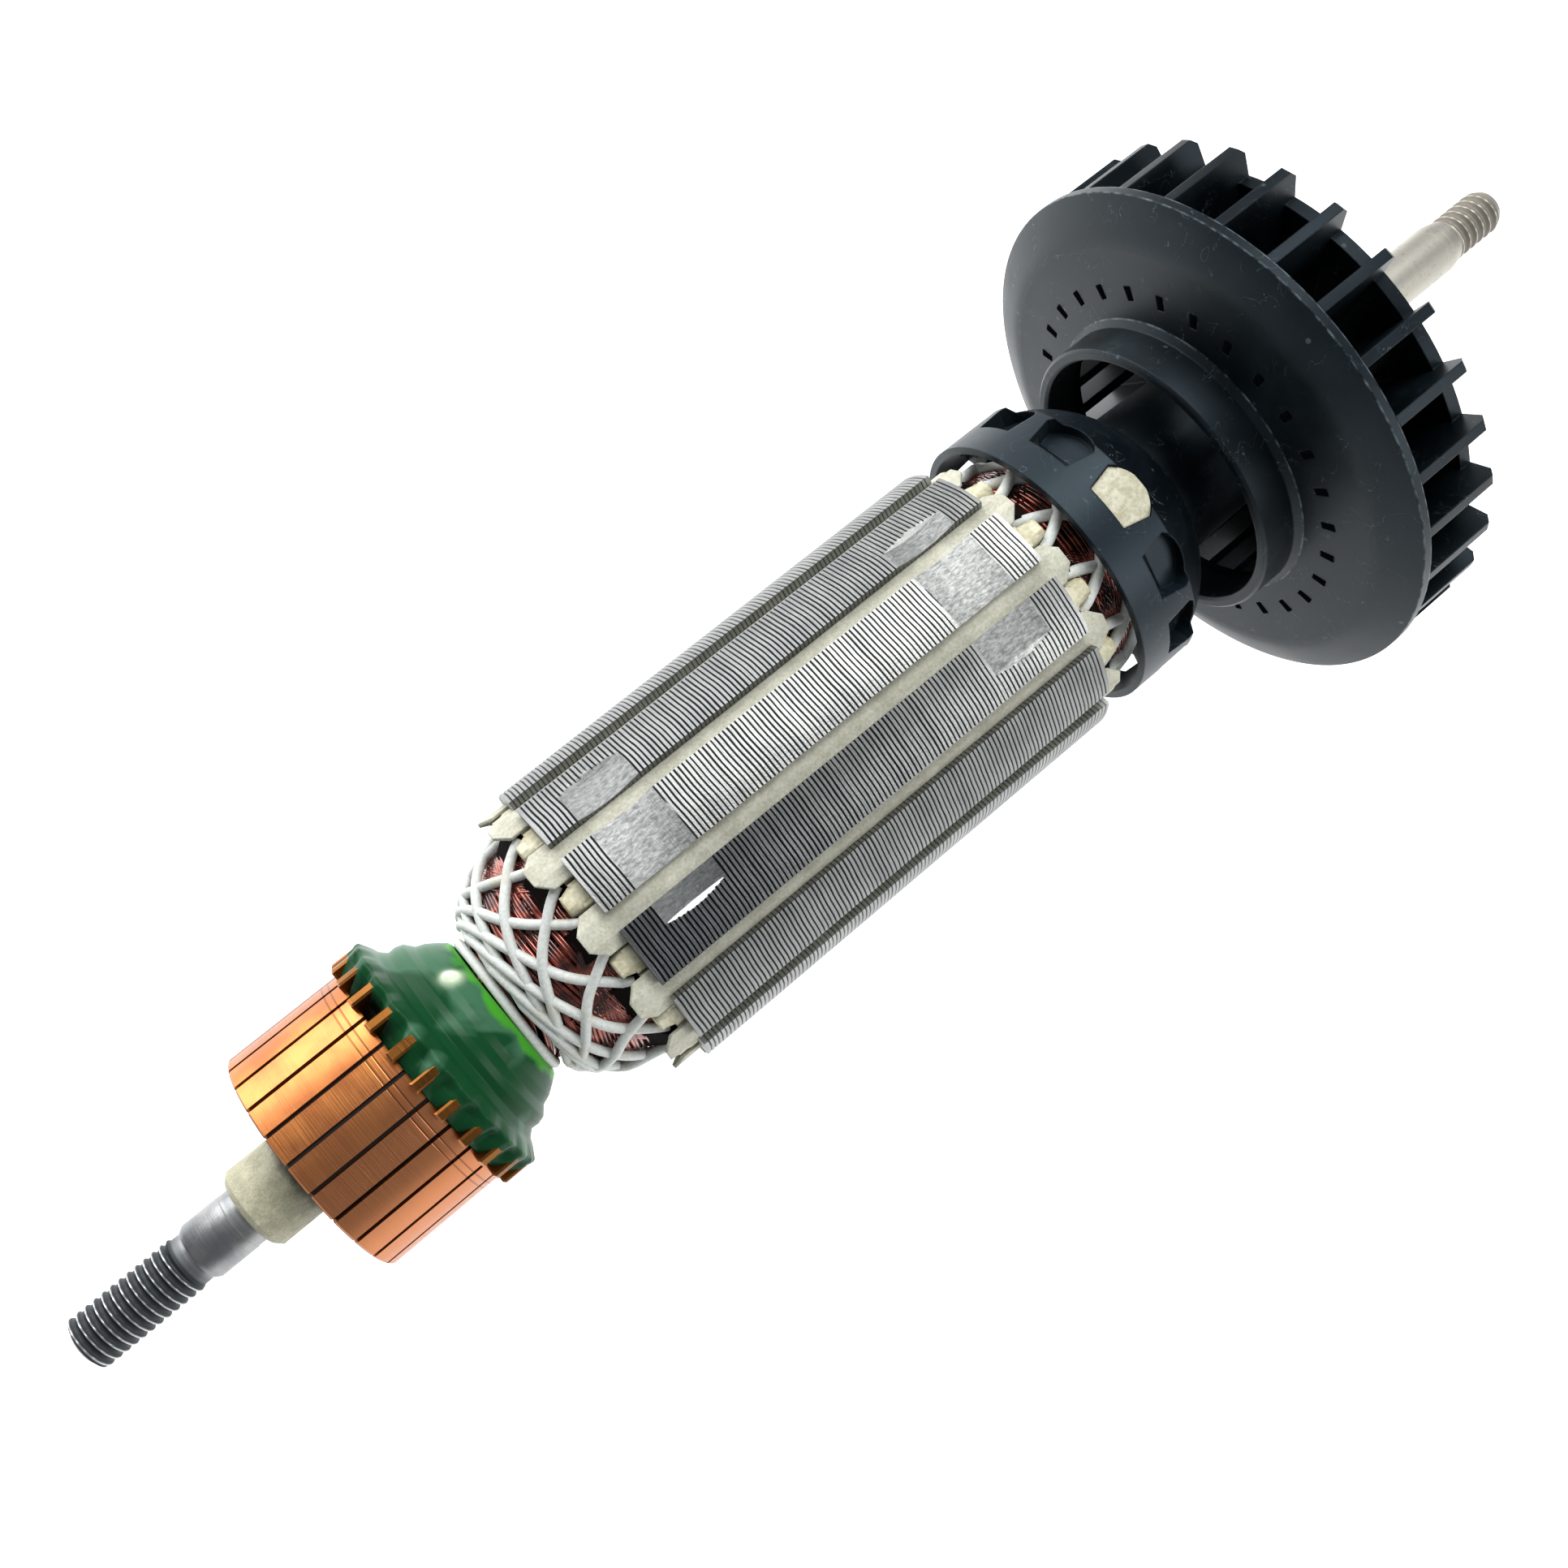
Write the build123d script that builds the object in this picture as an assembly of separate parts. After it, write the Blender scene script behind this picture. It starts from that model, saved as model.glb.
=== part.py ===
from build123d import *
import math
import os

# Wound motor armature with a commutator and a shrouded radial fan, in millimetres.
# The shaft runs along +X from the commutator end to the drive end, and +Z is up.
# The origin is on the shaft axis, in the middle of the commutator-side bearing journal.
# A tooth of the core stands at +Z. Angles about the shaft start at +Y and turn towards +Z.

os.makedirs("parts", exist_ok=True)

# Fits
contact_gap = 0.02
paper_gap = 0.05
soft_gap = 0.1

# Shaft, commutator side
journal_r = 3.145
journal_len = 5.6
journal_chamfer = 0.5
bush_seat_r = 3.35
undercut_r = 2.69
undercut_len = 1.4
front_thread_r = 2.95
front_thread_len = 10.5
front_tip_len = 1.0
front_tip_r = 2.2

# Shaft, middle and drive side
commutator_seat_r = 3.5
core_seat_r = 3.9
fan_seat_r = 3.3
drive_journal_r = 3.077
drive_journal_len = 28.7
drive_chamfer_len = 1.7
drive_thread_r = 2.7
drive_thread_len = 6.5
drive_tip_len = 1.1
drive_tip_r = 1.7

# Front bush
bush_len = 7.3
bush_r = 4.52
bush_edge = 0.6

# Commutator
bar_count = 24
bar_len = 13.3
bar_r = 12.8
bar_depth = 2.4
bar_foot_depth = 1.8
bar_foot_margin = 2.7
bar_foot_flare = 1.0
bar_gap = 0.45
bar_edge = 0.2
first_bar_angle = 91.6
rib_undercut = 0.6
moulding_lip = 0.35
moulding_collar_r = 8.2
moulding_collar_len = 2.2

# Wire hooks on the bars
hook_len = 3.4
hook_rise = 1.1
hook_thick = 0.9
hook_w = 1.15
hook_setback = 0.34
hook_root = 1.2
hook_edge = 0.2

# Lead wires in resin, between the commutator and the winding
lead_len = 22.95
resin_end_gap = 12.9
resin_top = 13.65
resin_waist_r = 11.4
resin_sink = 0.3
waist_len = 1.6
resin_neck_r = 8.0

# Laminated core
core_r = 17.0
core_len = 55.2
slot_count = 12
slot_opening = 2.1
tooth_tip = 1.0
tooth_tip_slope = 0.5
tooth_stem = 3.4
slot_floor_r = 9.0
sleeve_r = 5.2

# Milled balance cuts, from each end of the core
cutter_r = 14.0
cutter_flare = 5.0
cut_len = 7.4
front_cut_mid = 7.3
front_cut_angles = (58.0, 116.0)
rear_cut_mid = 7.4
rear_cut_angles = (63.0, 122.0)

# Slot liners
paper = 0.3
tongue_front = 3.4
tongue_rear = 2.6
tongue_corner = 1.4

# End insulators
spider_thick = 1.0
spider_hub_r = 8.0
spider_arm_w = 2.8
lug_w = 2.0
lug_base_r = 12.9
lug_top_r = 15.3
lug_front = 2.35
lug_rear = 3.0
lug_edge = 0.4

# Coil ends
front_neck_r = 6.7
front_neck_len = 12.5
front_shoulder_r = 12.75
bundle_drop = 0.5
bundle_front = 5.0
bundle_rear = 5.4
rear_end_r = 8.3
rear_overhang = 12.4
rear_shoulder_r = 12.7

# Lacing cord
cord_d = 1.1
cord_sides = 6
cord_rise = 0.3
neck_turns = 2
front_turns = (48, -84)
rear_turns = (30, -60)

# Fan wheel: bell over the coil ends
ring_gap = 5.3
ring_len = 3.7
ring_r = 16.83
ring_wall = 0.9
window_count = 12
first_window_angle = 102.0
window_w = 5.35
window_spread = 0.7
window_side = 3.2
window_len = 4.9
tab_len = 3.85
brim_slope = 0.5
brim_r = 15.8
dome_mid_r = 13.7
dome_mid = 3.6
dome_foot = 0.6
pocket_gap = 1.6
pocket_floor_r = 14.4
pocket_wall = 1.0
bell_len = 11.3
bell_web = 3.2

# Fan wheel: barrel, back plate and blades
barrel_r = 9.2
barrel_end_r = 8.7
fan_len = 36.6
plate_r = 27.5
plate_thick = 1.5
plate_flare = 5.0
boss_wall = 2.2
barrel_wall = 1.8
core_out_len = 18.0
rib_count = 6
rib_w = 1.3
blade_count = 29
blade_thick = 1.2
blade_in_r = 17.6
blade_out_r = 30.8
blade_tilt = 6.6
blade_edge = 0.8
first_blade_angle = 101.2

# Fan shroud
collar_gap = 17.5
collar_r = 17.24
collar_wall = 1.36
collar_len = 5.1
shroud_thick = 1.25
shroud_flat_r = 26.0
shroud_flat_rise = 0.5
shroud_overhang = 0.4
shroud_dish = 2.5
shroud_rim = 1.0
tenon_r = 21.05
tenon_len = 1.7
tenon_w = 0.9
tenon_gap = 0.1
tenon_recess = 0.45

# Balancing putty in one window of the bell
putty_window = 0
putty_gap = 0.1
putty_crown = 0.35
putty_shift = 0.2

# Stations along the shaft
bush_x = journal_len / 2
bar_x = bush_x + bush_len
bar_end_x = bar_x + bar_len
core_x = bar_end_x + lead_len
core_end_x = core_x + core_len
ring_x = core_end_x + ring_gap
window_x = ring_x + ring_len
bell_end_x = ring_x + bell_len + bell_web
collar_x = ring_x + collar_gap
disc_x = collar_x + collar_len
fan_end_x = ring_x + fan_len
plate_x = fan_end_x - plate_thick
drive_x = fan_end_x + drive_journal_len
shroud_r = blade_out_r + shroud_overhang
resin_end_x = core_x - resin_end_gap

slot_pitch = 360 / slot_count
bar_pitch = 360 / bar_count
blade_pitch = 360 / blade_count
window_pitch = 360 / window_count
cord_r = cord_d / 2


def turned(points):
    """Solid turned about the shaft axis from a closed outline of (x, r) corners."""
    return turned_edges(Polyline(*points, close=True).edges())


def turned_edges(edges):
    """Solid turned about the shaft axis from the edges of a closed (x, r) outline."""
    return revolve(Plane.XZ * make_face(edges), Axis.X, 360)


def tube(start, end, inner, outer):
    """Plain tube round the shaft axis."""
    return turned([(start, inner), (end, inner), (end, outer), (start, outer)])


def along_shaft(sketch, start, end):
    """Sketch across the shaft (Y to the right, Z up), extruded from start to end."""
    return extrude(Plane.YZ.offset(start) * sketch, end - start)


def around(piece, count, first=90.0):
    """Copies of a piece modelled at +Z, spread evenly about the shaft."""
    pitch = 360 / count
    return [Rot(X=first - 90 + i * pitch) * piece for i in range(count)]


def spread(sketch, count, first=90.0):
    """Copies of a sketch drawn at the top, spread evenly about the centre."""
    pitch = 360 / count
    return [Rot(Z=first - 90 + i * pitch) * sketch for i in range(count)]


# Shaft and the pieces pressed on it

def make_shaft():
    thread_end = -journal_len / 2 - journal_chamfer - undercut_len
    thread_start = thread_end - front_thread_len
    tip = thread_start - front_tip_len
    chamfer_end = drive_x + drive_chamfer_len
    drive_thread_end = chamfer_end + drive_thread_len
    core_seat_x = bar_end_x + moulding_collar_len
    return turned([
        (tip, 0),
        (tip, front_tip_r),
        (thread_start, front_thread_r),
        (thread_end, front_thread_r),
        (thread_end, undercut_r),
        (thread_end + undercut_len, undercut_r),
        (-journal_len / 2, journal_r),
        (bush_x, journal_r),
        (bush_x, bush_seat_r),
        (bar_x, bush_seat_r),
        (bar_x, commutator_seat_r),
        (core_seat_x, commutator_seat_r),
        (core_seat_x, core_seat_r),
        (bell_end_x - bell_web, core_seat_r),
        (bell_end_x - bell_web, fan_seat_r),
        (fan_end_x, fan_seat_r),
        (fan_end_x, drive_journal_r),
        (drive_x, drive_journal_r),
        (chamfer_end, drive_thread_r),
        (drive_thread_end, drive_thread_r),
        (drive_thread_end + drive_tip_len, drive_tip_r),
        (drive_thread_end + drive_tip_len, 0),
    ])


def make_sleeve():
    start = bar_end_x + moulding_collar_len
    end = bell_end_x - bell_web
    return tube(start, end, core_seat_r + contact_gap, sleeve_r)


def make_bush():
    bush = tube(bush_x, bar_x - moulding_lip, bush_seat_r + contact_gap, bush_r)
    front = bush.edges().filter_by(GeomType.CIRCLE).group_by(Axis.X)[0].sort_by(SortBy.RADIUS)[-1]
    return chamfer(front, min(bush_edge, (bush_r - bush_seat_r) / 2))


# Commutator

def foot_outline(gap):
    """Dovetail foot of a bar, which the moulding grips, as (x, r) corners."""
    root_r = bar_r - bar_depth
    foot_r = root_r - bar_foot_depth - gap
    near = bar_x + bar_foot_margin - gap
    far = bar_end_x - bar_foot_margin + gap
    return [
        (near, root_r),
        (near - bar_foot_flare, foot_r),
        (far + bar_foot_flare, foot_r),
        (far, root_r),
    ]


def make_hook():
    """Bent tang that rises behind the bar and lies over the lead wires."""
    start = bar_end_x - hook_setback
    end = start + hook_len
    top = bar_r + hook_rise
    leg_end = bar_end_x + hook_thick
    side = Polyline(
        (start, bar_r - hook_root),
        (start, top),
        (end, top),
        (end, top - hook_thick),
        (leg_end, top - hook_thick),
        (leg_end, bar_r - hook_root),
        close=True,
    )
    hook = extrude(Plane.XZ * make_face(side.edges()), hook_w / 2, both=True)
    return chamfer(hook.edges().group_by(Axis.Z)[-1], hook_edge)


def make_bar():
    root_r = bar_r - bar_depth
    body = turned([
        (bar_x, root_r),
        (bar_x, bar_r - bar_edge),
        (bar_x + bar_edge, bar_r),
        (bar_end_x, bar_r),
        (bar_end_x, root_r),
    ])
    foot = turned(foot_outline(0))
    half = math.radians(bar_pitch / 2)
    apex = bar_gap / 2 / math.sin(half)
    reach = 2 * bar_r
    side = (reach - apex) * math.tan(half)
    wedge = make_face(Polyline((0, apex), (side, reach), (-side, reach), close=True).edges())
    sector = along_shaft(wedge, bar_x, bar_end_x)
    return (body + foot) & sector


def make_moulding():
    root_r = bar_r - bar_depth - contact_gap
    start = bar_x - moulding_lip
    outer = turned([
        (start, commutator_seat_r + contact_gap),
        (start, root_r - moulding_lip),
        (bar_x, root_r),
        (bar_end_x, root_r),
        (bar_end_x, moulding_collar_r),
        (bar_end_x + moulding_collar_len, moulding_collar_r),
        (bar_end_x + moulding_collar_len, commutator_seat_r + contact_gap),
    ])
    body = outer - turned(foot_outline(contact_gap))
    rib_r = bar_r - rib_undercut
    rib_base = root_r - bar_foot_depth - 2 * contact_gap
    rib = Pos(0, (rib_base + rib_r) / 2) * Rectangle(bar_gap - 2 * contact_gap, rib_r - rib_base)
    between = first_bar_angle + bar_pitch / 2
    ribs = along_shaft(Sketch() + spread(rib, bar_count, between), bar_x + bar_edge, bar_end_x)
    return body + ribs


def make_resin(hooks):
    """Resin body over the lead wires, moulded round the hooks."""
    start = bar_end_x + contact_gap
    collar_end = bar_end_x + moulding_collar_len + contact_gap
    crest_x = bar_end_x + hook_len - hook_setback
    fall_x = (crest_x + resin_end_x) / 2
    body = turned([
        (start, bar_r - resin_sink),
        (bar_end_x + hook_thick, resin_top - resin_sink),
        (crest_x, resin_top),
        (crest_x + hook_thick, resin_top - hook_rise),
        (fall_x, resin_waist_r),
        (fall_x + waist_len, resin_waist_r - resin_sink),
        (resin_end_x, resin_neck_r),
        (resin_end_x, sleeve_r + soft_gap),
        (collar_end, sleeve_r + soft_gap),
        (collar_end, moulding_collar_r + contact_gap),
        (start, moulding_collar_r + contact_gap),
    ])
    return body - hooks


# Laminated core, slots and paper

def slot_half_width(v):
    """Half the slot's width at radius v, between parallel-sided tooth stems."""
    half = math.radians(slot_pitch / 2)
    return v * math.tan(half) - tooth_stem / 2 / math.cos(half)


def slot_outline():
    """Slot body below the opening, drawn at the top, as a face."""
    roof = core_r - tooth_tip
    shoulder = roof - tooth_tip_slope
    right = [
        (slot_opening / 2, roof),
        (slot_half_width(shoulder), shoulder),
        (slot_half_width(slot_floor_r), slot_floor_r),
    ]
    left = [(-u, v) for u, v in reversed(right)]
    return make_face(Polyline(*right, *left, close=True).edges())


def slot_face(gap):
    """Slot body drawn smaller all round by the gap."""
    if gap == 0:
        return slot_outline()
    return offset(slot_outline(), -gap, kind=Kind.INTERSECTION)


def balance_cutter(x_mid, angles):
    """Path of the concave milling wheel that took balance metal off the teeth."""
    depth = cutter_r - math.sqrt(cutter_r ** 2 - (cut_len / 2) ** 2)
    floor = core_r - depth
    axis_z = floor + cutter_r
    start, end = angles

    def at(radius, angle):
        return (radius * math.cos(math.radians(angle)), radius * math.sin(math.radians(angle)))

    outside = core_r + cutter_r / 4
    right = at(floor, start)
    left = at(floor, end)
    far_right = at(outside, start - cutter_flare)
    far_left = at(outside, end + cutter_flare)
    edges = [
        ThreePointArc(right, at(floor, (start + end) / 2), left),
        Line(left, far_left),
        Line(far_left, (far_left[0], axis_z)),
        Line((far_left[0], axis_z), (far_right[0], axis_z)),
        Line((far_right[0], axis_z), far_right),
        Line(far_right, right),
    ]
    profile = Plane.YZ.offset(x_mid) * make_face(edges)
    return revolve(profile, Axis((x_mid, 0, axis_z), (0, 1, 0)), 360)


def make_core():
    channel_top = core_r + tooth_tip
    channel_base = core_r - tooth_tip - tooth_tip_slope
    channel = Pos(0, (channel_top + channel_base) / 2) * Rectangle(slot_opening, channel_top - channel_base)
    slot = slot_face(0) + channel
    sheet = Circle(core_r) - Circle(sleeve_r + contact_gap)
    sheet = sheet - spread(slot, slot_count, 90 + slot_pitch / 2)
    stack = along_shaft(sheet, core_x, core_end_x)
    front = balance_cutter(core_x + front_cut_mid, front_cut_angles)
    rear = balance_cutter(core_end_x - rear_cut_mid, rear_cut_angles)
    return stack - front - rear


def make_liner():
    """Paper tube in a slot, with a rounded tongue past each end of the core."""
    wall = slot_face(paper_gap) - slot_face(paper_gap + paper)
    body = along_shaft(wall, core_x - spider_thick, core_end_x + spider_thick)
    fold = core_r - tooth_tip - tooth_tip_slope - paper
    roof = wall & (Pos(0, fold + core_r) * Rectangle(core_r, 2 * core_r))
    start = core_x - tongue_front
    end = core_end_x + tongue_rear
    width = 2 * slot_half_width(fold + paper) - 2 * paper_gap
    plan = Pos((start + end) / 2, 0) * chamfer(Rectangle(end - start, width).vertices(), tongue_corner)
    tongue = along_shaft(roof, start, end) & extrude(plan, 2 * core_r)
    return body + tongue


def make_spider(lug_len):
    """End insulator on the front of the core: plate, arms and one lug on each tooth."""
    arm_len = lug_top_r - sleeve_r
    arm = Pos(0, sleeve_r + arm_len / 2) * Rectangle(spider_arm_w, arm_len)
    block = Rectangle(lug_w, lug_top_r - lug_base_r)
    lug = Pos(0, (lug_base_r + lug_top_r) / 2) * chamfer(block.vertices(), lug_edge)
    bore = Circle(sleeve_r + soft_gap)
    plate = Circle(spider_hub_r) + spread(arm, slot_count) - bore
    lugs = Sketch() + spread(lug, slot_count)
    return along_shaft(plate, core_x - spider_thick, core_x) + along_shaft(lugs, core_x - lug_len, core_x)


# Winding

def slot_roof():
    """Top radius of the coils in a slot, inside the paper."""
    return core_r - tooth_tip - tooth_tip_slope - paper - paper_gap - soft_gap


def bundle(reach, shoulder_r):
    """Bulge of coil wires at +Z that runs back from X = 0 and down to the shoulder."""
    top = slot_roof()
    side = Polyline(
        (0, slot_floor_r),
        (0, top),
        (-reach / 4, top - bundle_drop),
        (-reach * 0.65, shoulder_r),
        (-reach, shoulder_r - 3 * bundle_drop),
        (-reach, slot_floor_r),
        close=True,
    )
    width = 2 * slot_half_width((core_r + slot_floor_r) / 2)
    block = extrude(Plane.XZ * make_face(side.edges()), width / 2, both=True)
    corners = Rectangle(width, top).vertices().group_by(Axis.Y)[-1]
    end_view = Pos(0, top / 2) * chamfer(corners, width / 4)
    return block & along_shaft(end_view, -reach, 0)


def front_winding_radius(x):
    """Radius of the front coil ends under the lacing, from the neck to the core."""
    t = (x - (core_x - front_neck_len)) / (front_neck_len - spider_thick)
    t = min(max(t, 0.0), 1.0)
    return front_neck_r + (front_shoulder_r - front_neck_r) * math.sin(t * math.pi / 2) ** 0.8


def make_front_winding():
    start = resin_end_x + contact_gap
    end = core_x - spider_thick - contact_gap
    neck_end = core_x - front_neck_len + cord_d * neck_turns
    inner = sleeve_r + soft_gap
    stations = [neck_end + (end - neck_end) * t for t in (0.1, 0.3, 0.55, 1.0)]
    dome = turned([
        (start, inner),
        (start, front_neck_r),
        (neck_end, front_neck_r),
        *[(x, front_winding_radius(x)) for x in stations],
        (end, inner),
    ])
    bulge = Pos(end, 0, 0) * bundle(bundle_front, front_shoulder_r)
    return dome + around(bulge, slot_count, 90 + slot_pitch / 2)


def rear_winding_radius(x):
    """Radius of the rear coil ends under the lacing."""
    shoulder_x = core_end_x + spider_thick + bundle_rear
    end = core_end_x + rear_overhang
    t = max((x - shoulder_x) / (end - shoulder_x), 0.0)
    return rear_shoulder_r - (rear_shoulder_r - rear_end_r) * t ** 1.6


def make_rear_winding():
    start = core_end_x + spider_thick + contact_gap
    end = core_end_x + rear_overhang
    inner = sleeve_r + soft_gap
    shoulder_x = start + bundle_rear
    stations = [shoulder_x, (shoulder_x + end) / 2, end]
    dome = turned([
        (start, inner),
        (start, lug_base_r - paper),
        *[(x, rear_winding_radius(x)) for x in stations],
        (end, inner),
    ])
    bulge = Pos(start, 0, 0) * mirror(bundle(bundle_rear, rear_shoulder_r), about=Plane.YZ)
    return dome + around(bulge, slot_count, 90 + slot_pitch / 2)


def make_slot_windings():
    coil = slot_face(paper_gap + paper + soft_gap)
    coils = Sketch() + spread(coil, slot_count, 90 + slot_pitch / 2)
    return along_shaft(coils, core_x - spider_thick, core_end_x + spider_thick)


# Lacing cord

def strand(stations, first, turn):
    """One stretch of cord over the coil ends through (x, r) stations, in straight runs."""
    points = []
    for i, (x, radius) in enumerate(stations):
        angle = math.radians(first + turn * i / (len(stations) - 1))
        points.append(Vector(x, radius * math.cos(angle), radius * math.sin(angle)))
    start = Plane(origin=points[0], z_dir=points[1] - points[0])
    section = start * RegularPolygon(cord_r, cord_sides)
    return sweep(section, path=Polyline(*points), transition=Transition.RIGHT)


def lacing(stations, turns, ring_x, ring_r, ring_turns):
    """Cord rings at the small end and two crossing families of stretches, as one cord."""
    section = RegularPolygon(cord_r, cord_sides)
    pieces = []
    for i in range(ring_turns):
        place = Pos(ring_x + i * (cord_d - soft_gap), ring_r)
        pieces.append(revolve(Plane.XZ * place * section, Axis.X, 360))
    for i in range(slot_count):
        angle = 90 + (i + 0.5) * slot_pitch
        pieces.append(strand(stations, angle, turns[i % len(turns)]))
    return Part() + pieces


def make_front_lacing():
    lift = cord_r + cord_rise
    start = core_x - tongue_front - soft_gap
    neck_x = core_x - front_neck_len + cord_r
    ring_r = front_neck_r + cord_r + soft_gap
    first_r = slot_roof() - bundle_drop + cord_r
    middle = [start + (neck_x - start) * t for t in (0.3, 0.6, 0.85)]
    stations = [(start, first_r)]
    stations += [(x, front_winding_radius(x) + lift) for x in middle]
    stations += [(neck_x + cord_r, ring_r)]
    return lacing(stations, front_turns, neck_x, ring_r, neck_turns)


def make_rear_lacing():
    lift = cord_r + cord_rise
    start = core_end_x + tongue_rear + soft_gap
    shoulder_x = core_end_x + spider_thick + bundle_rear
    end = core_end_x + rear_overhang - 2 * cord_d
    ring_r = rear_winding_radius(end - cord_r) + cord_r + soft_gap
    stations = [(start, slot_roof() - bundle_drop + cord_r)]
    stations += [(x, rear_winding_radius(x) + lift) for x in (shoulder_x, (shoulder_x + end) / 2)]
    stations += [(end, ring_r)]
    return lacing(stations, rear_turns, end, ring_r, 1)


# Fan

def make_bell():
    """Ring, tabs and dome round the rear coil ends, with the barrel and the back plate."""
    tab_x = window_x + tab_len
    brim_x = tab_x + brim_slope
    barrel_x = bell_end_x + dome_foot
    floor_x = window_x + pocket_gap
    inner_r = pocket_floor_r - pocket_wall
    bore = fan_seat_r + contact_gap
    flare_x = plate_x - plate_flare
    flare_mid = plate_flare * (1 - math.sqrt(0.5))
    edges = Polyline((ring_x, ring_r), (tab_x, ring_r), (brim_x, brim_r)).edges()
    edges += ThreePointArc((brim_x, brim_r), (brim_x + dome_mid, dome_mid_r), (barrel_x, barrel_r)).edges()
    edges += Line((barrel_x, barrel_r), (flare_x, barrel_end_r)).edges()
    edges += ThreePointArc(
        (flare_x, barrel_end_r),
        (plate_x - flare_mid, barrel_end_r + flare_mid),
        (plate_x, barrel_end_r + plate_flare),
    ).edges()
    edges += Polyline(
        (plate_x, barrel_end_r + plate_flare),
        (plate_x, plate_r),
        (fan_end_x, plate_r),
        (fan_end_x, bore),
        (bell_end_x - bell_web, bore),
        (bell_end_x - bell_web, barrel_r),
        (ring_x + bell_len - bell_web, inner_r),
        (floor_x, inner_r),
        (floor_x, ring_r - ring_wall),
        (ring_x, ring_r - ring_wall),
        (ring_x, ring_r),
    ).edges()
    return turned_edges(edges)


def window_cutter(floor, side_gap=0.0, end_gap=0.0):
    """Window between two tabs, which widens away from the ring and ends in an arch."""
    near = window_w / 2 - side_gap
    far = near + window_spread
    start = window_x + end_gap
    side_end = window_x + window_side
    tip = window_x + window_len - end_gap
    outline = [
        Polyline((side_end, -far), (start, -near), (start, near), (side_end, far)),
        ThreePointArc((side_end, far), (tip, 0), (side_end, -far)),
    ]
    face = make_face(outline[0].edges() + outline[1].edges())
    return extrude(Plane.XY.offset(floor) * face, core_r - floor + tooth_tip)


def make_cored_hub():
    """Space between the hub's boss and its barrel, open at the back, crossed by ribs."""
    start = fan_end_x - core_out_len
    pocket = tube(start, fan_end_x, fan_seat_r + boss_wall, barrel_end_r - barrel_wall)
    rib = Pos(0, barrel_r / 2) * Rectangle(rib_w, barrel_r)
    ribs = along_shaft(Sketch() + spread(rib, rib_count), start, fan_end_x)
    return pocket - ribs


def disc_back(r):
    """Place along the shaft of the shroud's back surface at radius r."""
    flat = disc_x + shroud_thick + shroud_flat_rise * (r - collar_r) / (shroud_flat_r - collar_r)
    if r <= shroud_flat_r:
        return flat
    t = (r - shroud_flat_r) / (shroud_r - shroud_flat_r)
    return flat + (shroud_dish - shroud_flat_rise) * t ** 1.5


def disc_back_outline():
    """Corners of the shroud's back surface, from the collar to the blades' ends."""
    dish_r = (shroud_flat_r + blade_out_r) / 2
    return [(disc_back(r), r) for r in (collar_r, shroud_flat_r, dish_r, blade_out_r)]


def make_blades():
    """Straight blades leaning off the radius, trimmed to the shroud's back."""
    length = blade_out_r - blade_in_r + blade_thick
    blade = Pos(0, tenon_r) * Rot(Z=-blade_tilt) * Pos(0, blade_in_r - tenon_r + length / 2)
    blade = blade * Rectangle(blade_thick, length)
    blades = along_shaft(Sketch() + spread(blade, blade_count, first_blade_angle), disc_x, fan_end_x)
    front = [(x + contact_gap, r) for x, r in disc_back_outline()]
    space = turned([
        (plate_x, blade_in_r),
        (front[0][0], blade_in_r),
        *front[1:],
        (fan_end_x - blade_edge, blade_out_r),
        (fan_end_x - contact_gap, blade_out_r - blade_edge),
        (fan_end_x - contact_gap, blade_in_r),
    ])
    return blades & space


def tenons(gap):
    """Sketch of the tenons, or of their slots where the gap is nought."""
    tenon = Pos(0, tenon_r) * Rot(Z=-blade_tilt) * Rectangle(tenon_w - 2 * gap, tenon_len - 2 * gap)
    return Sketch() + spread(tenon, blade_count, first_blade_angle)


def make_fan_wheel():
    windows = around(window_cutter(pocket_floor_r), window_count, first_window_angle)
    bell = make_bell() - windows - make_cored_hub()
    pins = along_shaft(tenons(tenon_gap), disc_x + tenon_recess, disc_back(tenon_r) + 0.5)
    return bell + make_blades() + pins


def make_fan_shroud():
    inner = collar_r - collar_wall
    front_flat = disc_x + shroud_flat_rise
    rim_x = disc_x + shroud_dish
    edges = Polyline(
        (disc_x + shroud_thick, inner + 0.8),
        (disc_x - 0.6, inner),
        (collar_x + 0.3, inner),
        (collar_x, inner + 0.3),
        (collar_x, collar_r - 0.3),
        (collar_x + 0.3, collar_r),
        (disc_x - 0.7, collar_r),
        (disc_x, collar_r + 0.7),
        (front_flat, shroud_flat_r),
    ).edges()
    edges += Spline(
        (front_flat, shroud_flat_r),
        (front_flat + (rim_x - front_flat) * 0.42, (shroud_flat_r + shroud_r) / 2 + 0.2),
        (rim_x, shroud_r),
        tangents=[(shroud_flat_rise, shroud_flat_r - collar_r), (0.6, 1)],
    ).edges()
    edges += Polyline(
        (rim_x, shroud_r),
        (rim_x + shroud_rim, shroud_r),
        *reversed(disc_back_outline()),
        (disc_x + shroud_thick, inner + 0.8),
    ).edges()
    body = turned_edges(edges)
    slots = along_shaft(tenons(0), disc_x - 1, disc_x + shroud_thick + 1)
    return body - slots


def make_putty():
    """Putty block that fills one window and stands a little below the ring."""
    block = window_cutter(pocket_floor_r + contact_gap, putty_gap, putty_gap)
    skin = tube(ring_x, bell_end_x, core_r / 2, ring_r - putty_crown)
    cut_x = window_x + window_len - putty_shift
    block = block & skin & along_shaft(Rectangle(4 * core_r, 4 * core_r), window_x, cut_x)
    return Rot(X=first_window_angle - 90 + putty_window * window_pitch) * block


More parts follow.
